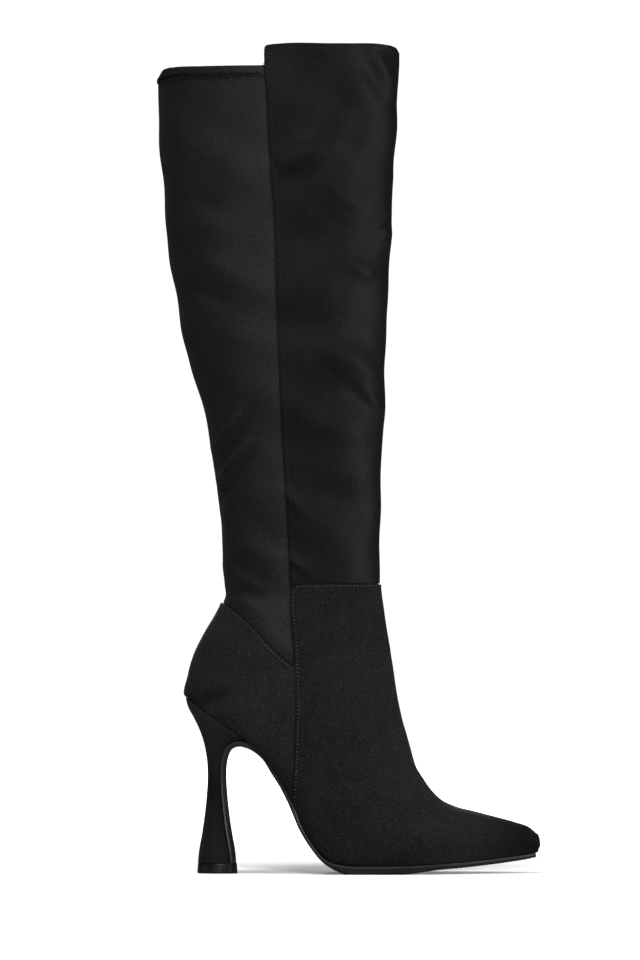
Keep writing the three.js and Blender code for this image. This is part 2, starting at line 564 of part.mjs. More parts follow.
// The outsole: down the breast of the heel, under the arch and along the forepart to the toe.
const FLAP_SIDE = 0.3; // share of the flap's thickness before its bevel starts
function makeOutsole() {
  const rows = heelRows.slice(0, -1).map(({ front, half }, i) => ({
    point: front, lateral: half, medial: half, sway: 0,
    narrow: lerp(0.96, 0.9, HEEL[i].seat_wide), rise: GAP, depth: FLAP, bevel: Math.min(FLAP_BEVEL, half * 0.45),
  }));
  const topLine = soleLine(SUEDE).slice(2, -1);
  for (let i = FIRST_ARCH_ROW; i <= LAST_SOLE_ROW; i++) {
    const { lateral, medial, sway, edge } = footSections[i];
    const { thick, tuck } = FOOT[i];
    rows.push({
      point: topLine[i], lateral: lateral * edge, medial: medial * edge, sway,
      narrow: tuck, rise: 0, depth: thick * FOREPART, rib: tuck >= 0.94,
    });
  }
  const normals = outOf(rows.map((row) => row.point));
  const rings = rows.map(({ point, lateral, medial, sway, narrow, rise, depth, bevel, rib }, i) => {
    const start = point.clone().addScaledVector(normals[i], rise);
    if (i === 0) start.y = TOP_LIFT + GAP;
    const margin = rib ? SOLE_MARGIN : 0;
    const slant = bevel ?? RIB_RELIEF + EDGE_BEVEL;
    const profile = rib
      ? [[0, 0], [0, Math.min(EDGE_RIB, depth * 0.5)], [RIB_RELIEF, depth - EDGE_BEVEL], [slant, depth]]
      : [[0, 0], [0, depth * FLAP_SIDE], [slant * 0.5, depth * 0.75], [slant, depth]];
    return stripRing(start, normals[i], lateral * narrow + margin, medial * narrow + margin, sway, profile);
  });
  const floor = sidePrism([at(-FAR, 0), at(FAR, 0), at(FAR, -RUN_OUT), at(-FAR, -RUN_OUT)]);
  return loft(rings).subtract(floor);
}

function mesh(name, made, color, roughness, metalness = 0) {
  const { vertProperties, triVerts } = made.getMesh();
  const geometry = new THREE.BufferGeometry();
  geometry.setAttribute("position", new THREE.BufferAttribute(vertProperties, 3));
  geometry.setIndex(new THREE.BufferAttribute(triVerts, 1));
  const part = new THREE.Mesh(geometry, new THREE.MeshStandardMaterial({ color, roughness, metalness }));
  part.name = name;
  return part;
}

const boot = new THREE.Group();
boot.add(
  mesh("upper", makeUpper(), 0x1f1d1f, 0.9),
  mesh("vamp", makeVamp(), SUEDE_BLACK, 0.95),
  mesh("counter", makeCounter(), SUEDE_BLACK, 0.95),
  mesh("front_leg_panel", makeFrontPanel(), SUEDE_BLACK, 0.95),
  mesh("stretch_back_panel", makeStretchPanel(), STRETCH_BLACK, 0.7),
  mesh("insole", makeInsole(), 0x2b2826, 0.6),
  mesh("outsole", makeOutsole(), 0x171719, 0.45),
  mesh("heel", makeHeel(), SUEDE_BLACK, 0.95),
  mesh("top_lift", makeTopLift(), 0x101012, 0.2),
);

export default boot;
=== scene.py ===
"""Looks of a knee-high boot: suede foot and front, stretch panel down the back, waisted heel.
Lengths are millimetres until a mesh is made. Toe towards +X, outer side of the foot towards -Y."""
import math

import bpy
import numpy as np
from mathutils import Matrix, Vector


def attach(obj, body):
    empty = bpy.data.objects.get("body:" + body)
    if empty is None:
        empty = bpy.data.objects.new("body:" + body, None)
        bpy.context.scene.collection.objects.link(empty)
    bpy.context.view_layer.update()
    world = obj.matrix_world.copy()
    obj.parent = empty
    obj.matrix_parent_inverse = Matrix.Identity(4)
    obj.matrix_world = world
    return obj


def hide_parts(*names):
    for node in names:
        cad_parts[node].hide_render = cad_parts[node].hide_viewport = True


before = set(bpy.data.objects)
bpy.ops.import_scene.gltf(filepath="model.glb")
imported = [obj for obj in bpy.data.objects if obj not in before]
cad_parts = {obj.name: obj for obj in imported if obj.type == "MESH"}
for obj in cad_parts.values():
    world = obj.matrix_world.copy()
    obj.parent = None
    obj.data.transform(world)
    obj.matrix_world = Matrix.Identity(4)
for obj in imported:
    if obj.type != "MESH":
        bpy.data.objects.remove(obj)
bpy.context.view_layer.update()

# Lengths of the last and of the leg
FOOT_LENGTH = 220
SEAT_HEIGHT = 108
SEAT_OVERHANG = 19.7
HEEL_WIDTH = 63
BALL_WIDTH = 82
TOE_SPRING = 7
TOE_NOSE = 6
LEG_HEIGHT = 405.4
ANKLE_RISE = 71.2
ANKLE_INSET = 24.1
ANKLE_DEPTH = 96.6
ANKLE_WIDTH = 62
CALF_DEPTH = 151
CALF_WIDTH = 84
LEG_LEAN = 14.8

# Skins, as depths below the outermost face
SUEDE = (0.0, 1.22)
LEG_SUEDE = (0.2, 1.24)
STRETCH = (0.5, 1.24)
WALL = (1.3, 2.5)
HEM_RISE = 0.45

# Sole and heel
FOREPART = 5.3
EDGE_RIB = 1.8
RIB_RELIEF = 0.5
EDGE_BEVEL = 0.9
SOLE_MARGIN = 0.4
SOLE_SEAT = 1.0
FLAP = 3.6
FLAP_BEVEL = 3.0
GAP = 0.3
INSOLE = 2.2
TOP_LIFT = 6.4
HEEL_BASE = (24.2, 25)
HEEL_WAIST = (12.1, 14)
HEEL_SEAT_SHARE = 0.89

LEG = [  # up, full, lean
    (1.06, 1.01, 1), (0.92, 0.97, 1.03), (0.74, 0.866, 1.03), (0.58, 0.713, 0.93), (0.47, 0.57, 0.777),
    (0.36, 0.368, 0.48), (0.25, 0.178, 0.24), (0.11, 0.062, 0.09), (0, 0, 0),
]
COUNTER = [  # out, drop, along, fall, wide, widest
    (-0.03, 0.1, 0.005, 0.028, 0.985, 0.49),
    (0.07, 0.16, 0.009, 0.045, 0.99, 0.48),
    (0.27, 0.28, 0.019, 0.082, 1, 0.46),
    (0.55, 0.44, 0.027, 0.116, 1.01, 0.43),
    (0.78, 0.6, 0.034, 0.145, 1.02, 0.4),
    (0.94, 0.78, 0.042, 0.176, 1.02, 0.36),
    (1, 1, 0.053, 0.216, 1, 0.3),
]
FOOT = [  # run, lift, spring, along, fall, ball, lateral, medial, sway, widest, edge, flat
    (0.019, 0.97, 0, 0.059, 0.237, 0, 1, 1, 0, 0.3, 0.44, 0.8),
    (0.062, 0.905, 0, 0.067, 0.272, 0, 1.01, 1, 0, 0.31, 0.74, 1),
    (0.117, 0.822, 0, 0.08, 0.321, 0, 1.01, 1, 0, 0.32, 0.86, 1),
    (0.17, 0.74, 0, 0.095, 0.387, 0, 1.01, 0.98, 0, 0.33, 0.88, 1),
    (0.213, 0.66, 0, 0.11, 0.443, 0, 1.01, 0.97, 0, 0.34, 0.86, 1),
    (0.248, 0.562, 0, 0.127, 0.492, 0.1, 0.985, 0.925, 0, 0.33, 0.84, 1),
    (0.279, 0.457, 0, 0.143, 0.533, 0.2, 0.975, 0.885, 0, 0.33, 0.82, 1),
    (0.304, 0.347, 0, 0.16, 0.568, 0.35, 0.965, 0.86, 0, 0.33, 0.82, 1),
    (0.325, 0.235, 0, 0.175, 0.601, 0.5, 0.965, 0.855, 0, 0.32, 0.84, 1),
    (0.355, 0.129, 0, 0.19, 0.635, 0.65, 0.97, 0.865, 0, 0.32, 0.86, 1),
    (0.4, 0.03, 0, 0.205, 0.669, 0.8, 0.975, 0.885, 0, 0.32, 0.88, 1),
    (0.454, 0.003, 0, 0.224, 0.704, 0.9, 0.985, 0.91, 0, 0.32, 0.89, 1),
    (0.531, 0, 0, 0.261, 0.741, 1, 1, 0.94, 0.006, 0.32, 0.89, 1),
    (0.618, 0, 0.03, 0.331, 0.801, 1, 0.99, 0.94, 0.018, 0.33, 0.89, 1),
    (0.661, 0, 0.08, 0.385, 0.832, 1, 0.945, 0.915, 0.027, 0.34, 0.89, 1),
    (0.704, 0, 0.14, 0.456, 0.853, 1, 0.88, 0.865, 0.037, 0.35, 0.89, 1),
    (0.786, 0, 0.29, 0.591, 0.876, 1, 0.695, 0.72, 0.055, 0.38, 0.89, 1),
    (0.863, 0, 0.52, 0.732, 0.899, 1, 0.5, 0.535, 0.073, 0.4, 0.88, 1),
    (0.923, 0, 0.74, 0.848, 0.919, 1, 0.355, 0.39, 0.085, 0.42, 0.87, 1),
    (0.959, 0, 0.88, 0.929, 0.937, 1, 0.27, 0.305, 0.091, 0.45, 0.86, 1),
    (0.982, 0, 1, 0.98, 0.963, 1, 0.205, 0.235, 0.091, 0.48, 0.82, 0.9),
    (0.994, 0, 1.2, 1, 1, 1, 0.1, 0.11, 0.091, 0.5, 0.8, 0),
]
SOLE = [  # thick, tuck
    (0.4, 0.75), (0.4, 0.75), (0.4, 0.75), (0.72, 0.88), (0.31, 0.87), (0.46, 0.86), (0.48, 0.88), (0.52, 0.98),
    (0.47, 1), (0.45, 1), (0.56, 1), (1.1, 1), (1.06, 1), (1.05, 1), (0.88, 1), (0.72, 1), (0.64, 1), (0.62, 1),
    (0.6, 1), (0.57, 0.98), (0.52, 0.94), (0.5, 0.8),
]
HEEL = [  # up_back, up_front, base, seat_back, seat_front, seat_wide
    (0, 0, 1, 0, 0, 0),
    (0.075, 0.101, 0.88, 0, 0, 0),
    (0.185, 0.249, 0.56, 0, 0, 0),
    (0.295, 0.398, 0.3, 0, 0, 0),
    (0.418, 0.563, 0.09, 0, 0, 0),
    (0.526, 0.709, 0, 0, 0, 0.01),
    (0.625, 0.815, 0, 0.036, 0.026, 0.07),
    (0.704, 0.895, 0, 0.13, 0.116, 0.2),
    (0.798, 0.955, 0, 0.35, 0.277, 0.41),
    (0.877, 0.988, 0, 0.63, 0.535, 0.64),
    (0.946, 0.997, 0, 0.9, 0.79, 0.85),
    (1, 1, 0, 1, 1, 1),
]
BREAST_ROW = 3
LAST_SOLE_ROW = 20

SOLE_LINE = FOREPART - SOLE_SEAT
SEAT_BACK = -SEAT_OVERHANG
TOE = SEAT_BACK + FOOT_LENGTH
ANKLE = SEAT_HEIGHT + ANKLE_RISE
COLLAR = SEAT_HEIGHT + LEG_HEIGHT
ANKLE_BACK = SEAT_BACK + ANKLE_INSET
ANKLE_FRONT = ANKLE_BACK + ANKLE_DEPTH
TOE_TIP = SOLE_LINE + TOE_SPRING + TOE_NOSE + SOLE_SEAT

# Fineness and roundness
HALF_STEPS = 54  # points from the front to the widest place, and from there to the back
EDGE_SHARE = 4 / 6  # how far down the lower half the edge of the sole lies
PITCH = 1.6  # between the rings of the last
ROUND = 0.56  # handle of a curve that rounds a quarter
RIDGE = 0.5  # how broad the instep's ridge is


def mix(a, b, share):
    return a + (b - a) * share


def smooth(t, values, at):
    """A smooth curve through values at the places t, read at the places in at."""
    t, values = np.asarray(t, float), np.asarray(values, float)
    flat = values.reshape(len(t), -1)
    gap = np.diff(t)[:, None]
    slope = np.diff(flat, axis=0) / gap
    tangent = np.empty_like(flat)
    tangent[0], tangent[-1] = slope[0], slope[-1]
    tangent[1:-1] = (slope[:-1] * gap[1:] + slope[1:] * gap[:-1]) / (gap[:-1] + gap[1:])
    k = np.clip(np.searchsorted(t, at, side="right") - 1, 0, len(t) - 2)
    h = gap[k]
    u = ((np.asarray(at) - t[k])[:, None]) / h
    out = ((2 * u**3 - 3 * u**2 + 1) * flat[k] + (u**3 - 2 * u**2 + u) * h * tangent[k]
           + (3 * u**2 - 2 * u**3) * flat[k + 1] + (u**3 - u**2) * h * tangent[k + 1])
    return out.reshape((len(out),) + values.shape[1:])


def run_of(points):
    """Length along a path, at each of its points."""
    return np.concatenate([[0], np.cumsum(np.linalg.norm(np.diff(points, axis=0), axis=-1))])


def line_of(points):
    """A smooth line through points seen from the side, as a function of its first number."""
    t, v = np.array(points, float).T
    fine = np.linspace(t[0], t[-1], 600)
    value = smooth(t, v, fine)
    return lambda q: np.interp(q, fine, value)


def bezier(a, b, c, d, t):
    s = 1 - t
    return a * s**3 + 3 * b * s * s * t + 3 * c * s * t * t + d * t**3


def half_ring(section, half, steps):
    """Points of a section from its front round one side to its back end."""
    (fx, fz), (bx, bz) = section["front"], section["back"]
    widest, edge, flat = section["widest"], section.get("edge", 1), section.get("flat", 0)
    sway = section.get("sway", 0)

    def place(share, y):
        return np.array([mix(bx, fx, share), sway + y * half, mix(bz, fz, share)])

    t = np.linspace(0, 1, steps, endpoint=False)[:, None]
    upper = bezier(place(1, 0), place(1, section.get("ridge", RIDGE)),
                   place(mix(widest, 1, section.get("shoulder", ROUND)), 1), place(widest, 1), t)
    t = np.linspace(0, 1, steps + 1)[:, None]
    rounded = bezier(place(widest, 1), place(widest * (1 - ROUND), 1), place(0, ROUND), place(0, 0), t)
    corner = bezier(place(widest, 1), place(widest * 0.5, 1), place(widest * 0.12, mix(edge, 1, edge)),
                    place(0, edge), np.minimum(t / EDGE_SHARE, 1))
    level = mix(place(0, 0), place(0, edge), (1 - t) / (1 - EDGE_SHARE))
    squared = np.where(t <= EDGE_SHARE, corner, level)
    return np.vstack([upper, mix(rounded, squared, flat)])


def ring_of(section, steps=HALF_STEPS):
    outer = half_ring(section, -section["lateral"], steps)
    inner = half_ring(section, section["medial"], steps)
    return np.vstack([outer, inner[1:-1][::-1]])


def instep_point(along, fall):
    return mix(ANKLE_FRONT, TOE, along), mix(ANKLE, TOE_TIP, fall)


def last_sections():
    rows = []
    for up, full, lean in LEG:
        depth, z = mix(ANKLE_DEPTH, CALF_DEPTH, full), mix(ANKLE, COLLAR, up)
        middle = (ANKLE_BACK + ANKLE_FRONT) / 2 - lean * LEG_LEAN
        half = mix(ANKLE_WIDTH, CALF_WIDTH, full) / 2
        rows.append(dict(front=(middle + depth / 2, z), back=(middle - depth / 2, z), lateral=half, medial=half,
                         widest=0.5))
    for out, drop, along, fall, wide, widest in COUNTER:
        rows.append(dict(front=instep_point(along, fall),
                         back=(ANKLE_BACK - out * ANKLE_INSET, ANKLE - drop * ANKLE_RISE),
                         lateral=wide * HEEL_WIDTH / 2, medial=wide * HEEL_WIDTH / 2, widest=widest))
    for run, lift, spring, along, fall, ball, lateral, medial, sway, widest, edge, flat in FOOT:
        half = mix(HEEL_WIDTH, BALL_WIDTH, ball) / 2
        z = SOLE_LINE + lift * (SEAT_HEIGHT - SOLE_LINE) + spring * TOE_SPRING
        rows.append(dict(front=instep_point(along, fall), back=(SEAT_BACK + run * FOOT_LENGTH, z),
                         lateral=lateral * half, medial=medial * half, sway=sway * BALL_WIDTH, widest=widest,
                         edge=edge, flat=flat))
    return rows


SECTIONS = last_sections()
FOOT_ROWS = SECTIONS[len(LEG) + len(COUNTER):]


def side_normals(points):
    """Unit vectors to the right of a path seen from the side."""
    p = np.asarray(points, float)
    ahead = np.vstack([p[1:], p[-1:]]) - np.vstack([p[:1], p[:-1]])
    ahead /= np.linalg.norm(ahead, axis=1)[:, None]
    return np.stack([ahead[:, 1], -ahead[:, 0]], 1)


SOLE_PATH = np.array([SECTIONS[len(LEG) + len(COUNTER) - 1]["back"]]
                     + [row["back"] for row in FOOT_ROWS[:LAST_SOLE_ROW + 1]])


def sole_line(depth):
    """Height of the line under the foot, moved in by depth, as a function of X."""
    moved = SOLE_PATH - side_normals(SOLE_PATH) * depth
    reach = 60
    first = moved[0] + (moved[0] - moved[1]) / np.linalg.norm(moved[0] - moved[1]) * reach
    last = moved[-1] + (moved[-1] - moved[-2]) / np.linalg.norm(moved[-1] - moved[-2]) * reach
    path = np.vstack([first, moved, last])
    return lambda x: np.interp(x, path[:, 0], path[:, 1])


def unit(v):
    return v / np.maximum(np.linalg.norm(v, axis=-1, keepdims=True), 1e-12)


def grid_faces(rows, around):
    """Triangles over a grid of closed rings, each patch split the same way."""
    i, j = np.meshgrid(np.arange(rows - 1), np.arange(around), indexing="ij")
    k = (j + 1) % around
    a, b, c, d = i * around + j, i * around + k, (i + 1) * around + k, (i + 1) * around + j
    return np.vstack([np.stack([a, d, c], -1).reshape(-1, 3), np.stack([a, c, b], -1).reshape(-1, 3)])


def grid_normals(rings):
    return unit(np.cross(np.roll(rings, -1, 1) - np.roll(rings, 1, 1), np.gradient(rings, axis=0)))


def directed_edges(faces):
    return np.concatenate([faces[:, [0, 1]], faces[:, [1, 2]], faces[:, [2, 0]]])


# Rings that round off the toe: share of the way forward, and share of the way in.
TOE_ROUNDING = np.array([(0.3, 0.05), (0.55, 0.16), (0.76, 0.35), (0.9, 0.58), (0.98, 0.84), (1.0, 0.96)])


def rounded_toe(ring, tip):
    """Rings from the last full one to the tip, rounded in plan and from the side."""
    middle = tip.mean(0)
    made = []
    for ahead, inwards in TOE_ROUNDING:
        place = mix(ring, tip * 0.35 + middle * 0.65, inwards)
        place[:, 0] = mix(ring[:, 0], tip[:, 0], ahead)
        made.append(place)
    return np.array(made)


def last_grid(pitch=PITCH, steps=HALF_STEPS):
    """The last as a fine grid: place, outward normal, then lengths along and around at each point."""
    rings = np.array([ring_of(section, steps) for section in SECTIONS])
    t = np.concatenate([[0], np.cumsum(np.linalg.norm(np.diff(rings, axis=0), axis=2).mean(1))])
    at = np.arange(0, t[-2], pitch)
    if t[-2] - at[-1] < 0.5:
        at = at[:-1]
    at = np.append(at, t[-2])
    fine = np.vstack([smooth(t[:-1], rings[:-1], at), rounded_toe(rings[-2], rings[-1])])
    at = np.concatenate([at, mix(t[-2], t[-1], TOE_ROUNDING[:, 0])])
    normals = grid_normals(fine)
    centre = fine.mean(1, keepdims=True)
    if ((fine - centre) * normals).sum(-1).mean() < 0:
        normals = -normals
    step = np.linalg.norm(np.diff(fine, axis=1, append=fine[:, :1]), axis=2)
    count = fine.shape[1]
    half = count // 2
    out = np.concatenate([np.zeros((len(at), 1)), np.cumsum(step[:, :half], 1)], 1)
    back = np.cumsum(step[:, ::-1][:, :half - 1], 1)[:, ::-1]
    around = np.concatenate([out, back], 1)
    data = np.concatenate([fine, normals, np.broadcast_to(at[:, None, None], fine.shape[:2] + (1,)),
                           around[..., None]], 2)
    faces = grid_faces(len(at), count)
    p = data[..., :3].reshape(-1, 3)
    n = data[..., 3:6].reshape(-1, 3)
    a, b, c = p[faces[:, 0]], p[faces[:, 1]], p[faces[:, 2]]
    if (np.cross(b - a, c - a) * n[faces[:, 0]]).sum() < 0:
        faces = faces[:, ::-1]
    nose = data[-1].mean(0)
    nose[3:6] = (1, 0, 0)
    last = np.arange(count) + (len(at) - 1) * count
    fan = np.stack([last, np.roll(last, -1), np.full(count, len(p))], 1)
    turn = np.cross(p[fan[0, 1]] - p[fan[0, 0]], nose[:3] - p[fan[0, 0]])[0]
    faces = np.vstack([faces, fan if turn > 0 else fan[:, ::-1]])
    return np.vstack([data.reshape(-1, data.shape[-1]), nose]), faces


X, Y, Z, ALONG, AROUND = 0, 1, 2, 6, 7
SNAP = 0.22  # points nearer to a line than this are moved onto it


def split(sheet, field, level=0.0):
    """Cuts the triangles that a line crosses and keeps both sides."""
    data, faces = sheet[0].copy(), sheet[1]
    f = field(data) - level
    near = np.abs(f) < SNAP
    if near.any():
        step = 0.02
        spot = data[near]
        moved_x, moved_z = spot.copy(), spot.copy()
        moved_x[:, X] += step
        moved_z[:, Z] += step
        gx = (field(moved_x) - level - f[near]) / step
        gz = (field(moved_z) - level - f[near]) / step
        steep = np.maximum(gx * gx + gz * gz, 0.2)
        data[near, X] -= f[near] * gx / steep
        data[near, Z] -= f[near] * gz / steep
        f[near] = 0
    edges = np.sort(directed_edges(faces), 1)
    crossing = f[edges[:, 0]] * f[edges[:, 1]] < 0
    keys, which = np.unique(edges[crossing], axis=0, return_inverse=True)
    a, b = keys.T
    share = (f[a] / (f[a] - f[b]))[:, None]
    new = mix(data[a], data[b], share)
    middle = np.full(len(edges), -1)
    middle[crossing] = len(data) + which.ravel()
    middle = middle.reshape(3, -1).T
    count = (middle >= 0).sum(1)
    parts = [faces[count == 0]]
    for k in range(3):
        pick = (count == 1) & (middle[:, k] >= 0)
        a, b, c = np.roll(faces[pick], -k, axis=1).T
        m = middle[pick, k]
        parts += [np.stack([a, m, c], 1), np.stack([m, b, c], 1)]
        pick = (count == 2) & (middle[:, k] < 0)
        a, b, c = np.roll(faces[pick], -k, axis=1).T
        m, n = middle[pick, (k + 1) % 3], middle[pick, (k + 2) % 3]
        parts += [np.stack([a, b, m], 1), np.stack([a, m, n], 1), np.stack([n, m, c], 1)]
    return np.vstack([data, new]), np.vstack(parts)


def trim(sheet, field):
    """Keeps what lies on the positive side of a line."""
    data, faces = split(sheet, field)
    faces = faces[field(data)[faces].sum(1) > 0]
    used, faces = np.unique(faces, return_inverse=True)
    return data[used], faces.reshape(-1, 3)


# Lines of the pattern, seen from the side
SIDE_SEAM = line_of([(z, x) for x, z in [
    (45.2, 0), (45.6, 25), (45.8, 40), (46.4, 52), (47.2, 67.5), (48, 87.5), (48.4, 107), (48.1, 118),
    (47.5, 132), (46.9, 146), (45.3, 162), (45, 178), (44.4, 193.5), (43.2, 216.5), (41.3, 247.5),
    (39.4, 284.5), (38.2, 317.5), (37, 350), (35.1, 405.5), (32.6, 441.5), (29.7, 490), (28.9, 499),
    (28.8, 512), (28.8, 560)]])
VAMP_TOP = line_of([
    (-60, 177.2), (42, 177.2), (46, 177.4), (49.4, 178.7), (53, 179.1), (60, 179.2), (130, 179.2)])
COUNTER_TOP = line_of([
    (-60, 168.6), (-10, 168.6), (2.9, 168), (8.4, 164.2), (16.2, 158), (24.6, 150), (32.6, 141.2), (40.1, 134),
    (47.5, 128.3), (60, 120)])
FRONT_COLLAR = line_of([
    (24, 490), (28.6, 508.5), (29.6, 511), (32.5, 512.4), (37.6, 513), (71, 513.4), (81, 513.5), (104, 513.1),
    (109, 512.2), (112, 510.2), (113.6, 506.5), (115, 500)])
BACK_COLLAR = line_of([
    (-45, 488.5), (-38.5, 491), (-36.6, 494), (-34.6, 496.8), (-31, 498.5), (-26, 499.1), (-10, 499.4),
    (10, 499.6), (60, 499.8)])
HEM_LINE = line_of([
    (-45, 487.2), (-37.5, 488.6), (-33, 490.4), (-28, 491.4), (-10, 492), (10, 492.2), (60, 492.4)])
PANEL_END = 1.02  # how far above the sole's line the panels are cut off
UNDER_UPPER = sole_line(PANEL_END)


def below(line):
    """Distance under a line, about square to it."""
    def field(data):
        x = data[:, X]
        slope = (line(x + 0.5) - line(x - 0.5))
        return (line(x) - data[:, Z]) / np.sqrt(1 + slope * slope)
    return field


def in_front(data):
    z = data[:, Z]
    slope = (SIDE_SEAM(z + 0.5) - SIDE_SEAM(z - 0.5))
    return (data[:, X] - SIDE_SEAM(z)) / np.sqrt(1 + slope * slope)


def flipped(field, gap=0.0):
    return lambda data: -field(data) - gap


def moved(field, gap):
    return lambda data: field(data) - gap


vamp_top, counter_top = below(VAMP_TOP), below(COUNTER_TOP)
front_collar, back_collar, hem_line = below(FRONT_COLLAR), below(BACK_COLLAR), below(HEM_LINE)
over_sole = flipped(below(UNDER_UPPER))

# Soft ridges (height above 0) and troughs: width, height, then a path seen from the side
OUTER_CREASES = [
    # stretch panel
    (9, 1.5, (-20, 492), (-27, 462), (-20, 424)), (7.5, 1.3, (-26, 407), (-10, 402), (6, 396)),
    (6, -0.8, (-20, 420), (-8, 415), (4, 411)), (9.5, 0.9, (-22, 377), (0, 372), (20, 362)),
    (3.4, -0.7, (-19, 362), (-7, 357), (8, 352)), (9, 0.75, (-8, 338), (10, 332), (28, 328)),
    (2.8, 2.1, (15, 289), (7, 277), (-0.5, 264)), (3, -1.3, (19, 281), (11, 270), (5, 261)),
    (2.4, 2.5, (18, 268), (9.5, 256), (1.5, 244)), (3.2, -1.6, (22, 262), (14, 251), (6, 240)),
    (3, 1.2, (11, 235), (6.5, 229), (3, 224)), (7, 1, (5, 206), (24, 200), (43, 192)),
    (4.4, -0.85, (6, 196), (16, 188), (32, 180)), (4, 0.8, (5, 190), (14, 184), (24, 178)),
    (4.6, -0.7, (8, 178), (18, 174), (30, 168)), (6, 0.75, (12, 171.5), (26, 165), (42, 158)),
    # front leg panel
    (8.5, 3.1, (34, 437), (50, 443), (68, 450)), (8, 2.29, (58, 434), (74, 422), (92, 408)),
    (3.4, 0.5, (62, 419), (74, 409), (88, 400)), (4, 0.4, (63, 327), (78, 312), (92, 296)),
    (3.4, 0.9, (44, 452), (56, 455), (70, 460)), (13, -2.16, (64, 490), (82, 474), (100, 452)),
    (12, 1.35, (40, 484), (52, 476), (62, 462)), (5, 1.49, (82, 378), (89, 374), (98, 368)),
    (11, -1.49, (40, 398), (60, 392), (80, 388)), (11, 1.49, (44, 372), (60, 366), (74, 354)),
    (8, 2.16, (66, 330), (84, 318), (100, 303)), (4, 1.62, (90, 302), (97, 292), (101, 284)),
    (5.5, -0.8, (80, 304), (90, 294), (96, 284)), (12, -1.62, (38, 348), (54, 340), (70, 334)),
    (10, 1.49, (56, 282), (76, 276), (98, 268)), (3.4, 1.22, (41, 238), (47, 231), (55, 222)),
    (3, 1.22, (45, 196), (51, 191), (59, 186)), (12, -1.35, (62, 240), (78, 230), (92, 216)),
    (4, 1.62, (103, 402), (105.5, 392)), (4.2, 1.76, (97, 509), (104, 497), (109, 482)),
    (5.5, -1.62, (90, 505), (97, 492), (103, 477)),
    # vamp and counter
    (9, 1, (40, 120), (72, 130), (106, 139)), (7, 0.35, (-16, 104), (2, 110), (20, 118)),
    (9, 0.3, (56, 150), (80, 140), (102, 128)), (10, -0.35, (60, 128), (84, 112), (112, 96)),
    (9, 0.5, (70, 100), (96, 80), (126, 66)), (8, 0.4, (0, 150), (16, 138), (34, 128)),
]
INNER_CREASES = [  # a looser set of the same folds
    (3, 1.52, (10, 296), (3, 278), (-1, 262)), (2.6, 1.52, (19, 262), (10, 250), (3, 240)),
    (3, -1.04, (22, 256), (14, 246), (7, 235)), (7, 1.52, (6, 210), (22, 203), (42, 199)),
    (4.2, -1.8, (5, 200), (15, 192), (30, 185)), (4.4, 1.33, (6, 189), (20, 182), (36, 178)),
    (4.2, -1.52, (6, 180), (18, 173), (30, 168)), (11, 1.33, (-16, 470), (-8, 448), (-14, 424)),
    (9, -1.14, (-14, 405), (4, 400), (16, 402)), (9, 1.52, (40, 438), (60, 444), (80, 440)),
    (7, -1.14, (46, 425), (66, 428), (84, 424)), (6.5, 1.14, (60, 400), (72, 392), (84, 384)),
    (5, 1.04, (80, 340), (92, 331)), (5.5, -0.95, (76, 318), (92, 308)), (10, -0.76, (66, 240), (84, 226)),
]
ROUND_CREASES = [  # across the front and the back, where they show in the outline
    (5, -0.66, (96, 404), (108, 400)), (6, 0.57, (100, 432), (110, 428)), (4, -0.76, (2, 245), (7, 236)),
    (5, 0.66, (-2, 270), (3, 262)),
]
CREASES = [(-1, OUTER_CREASES), (1, INNER_CREASES), (0, ROUND_CREASES)]  # outer side, inner side, all round
CREASE_REACH = 3.2  # widths from its path at which a crease has died out
RIPPLES = [  # height, then waves per 100 mm along X, Y and Z, and phase
    (0.36, 1.3, 0.9, 1.7, 0.4), (0.28, -2.1, 1.4, 1.1, 2.1), (0.2, 1.1, -2.2, 2.9, 4), (0.11, 3.7, 2, -2.4, 1.3),
]


def soft_step(low, high, value):
    t = np.clip((value - low) / (high - low), 0, 1)
    return t * t * (3 - 2 * t)


def crease_height(data, side, width, height, *path):
    """Height of one crease over the sheet, fading out at both ends."""
    path = np.array(path, float)
    point = data[:, [X, Z]]
    reach = CREASE_REACH * width
    low, high = path.min(0) - reach, path.max(0) + reach
    inside = ((point > low) & (point < high)).all(1)
    out = np.zeros(len(data))
    point = point[inside]
    starts, ends = path[:-1], path[1:]
    lengths = np.linalg.norm(ends - starts, axis=1)
    total = lengths.sum()
    best = np.full(len(point), 1e9)
    where = np.zeros(len(point))
    for a, b, before, length in zip(starts, ends, np.concatenate([[0], np.cumsum(lengths)]), lengths):
        share = ((point - a) @ (b - a)) / length**2
        held = np.clip(share, 0, 1)[:, None]
        far = np.linalg.norm(point - (a + (b - a) * held), axis=1)
        closer = far < best
        best[closer] = far[closer]
        where[closer] = ((before + length * held[:, 0]) / total)[closer]
    fade = np.sin(np.pi * np.clip(where, 0.04, 0.96)) ** 0.6
    value = height * fade * np.exp(-(best / width) ** 2)
    if side:
        value = value * soft_step(-7, 9, side * data[inside, Y])
    out[inside] = value
    return out


def relief(data):
    """How far the whole skin rises or falls at each point."""
    height = sum(crease_height(data, side, *crease) for side, creases in CREASES for crease in creases)
    leg = soft_step(150, 200, data[:, Z])
    for size, kx, ky, kz, phase in RIPPLES:
        wave = np.sin((data[:, X] * kx + data[:, Y] * ky + data[:, Z] * kz) * math.tau / 100 + phase)
        height = height + size * wave * mix(0.1, 1, leg)
    return height


def rounded(distance, radius):
    """How far a face falls away beside an edge that is rounded over."""
    d = np.clip(distance, 0, radius)
    return radius - np.sqrt(np.maximum(radius**2 - (radius - d) ** 2, 0))


def border_edges(faces):
    """Directed edges that only one triangle has."""
    edges = directed_edges(faces)
    size = int(faces.max()) + 1
    key, back = edges[:, 0] * size + edges[:, 1], edges[:, 1] * size + edges[:, 0]
    return edges[~np.isin(key, back)]


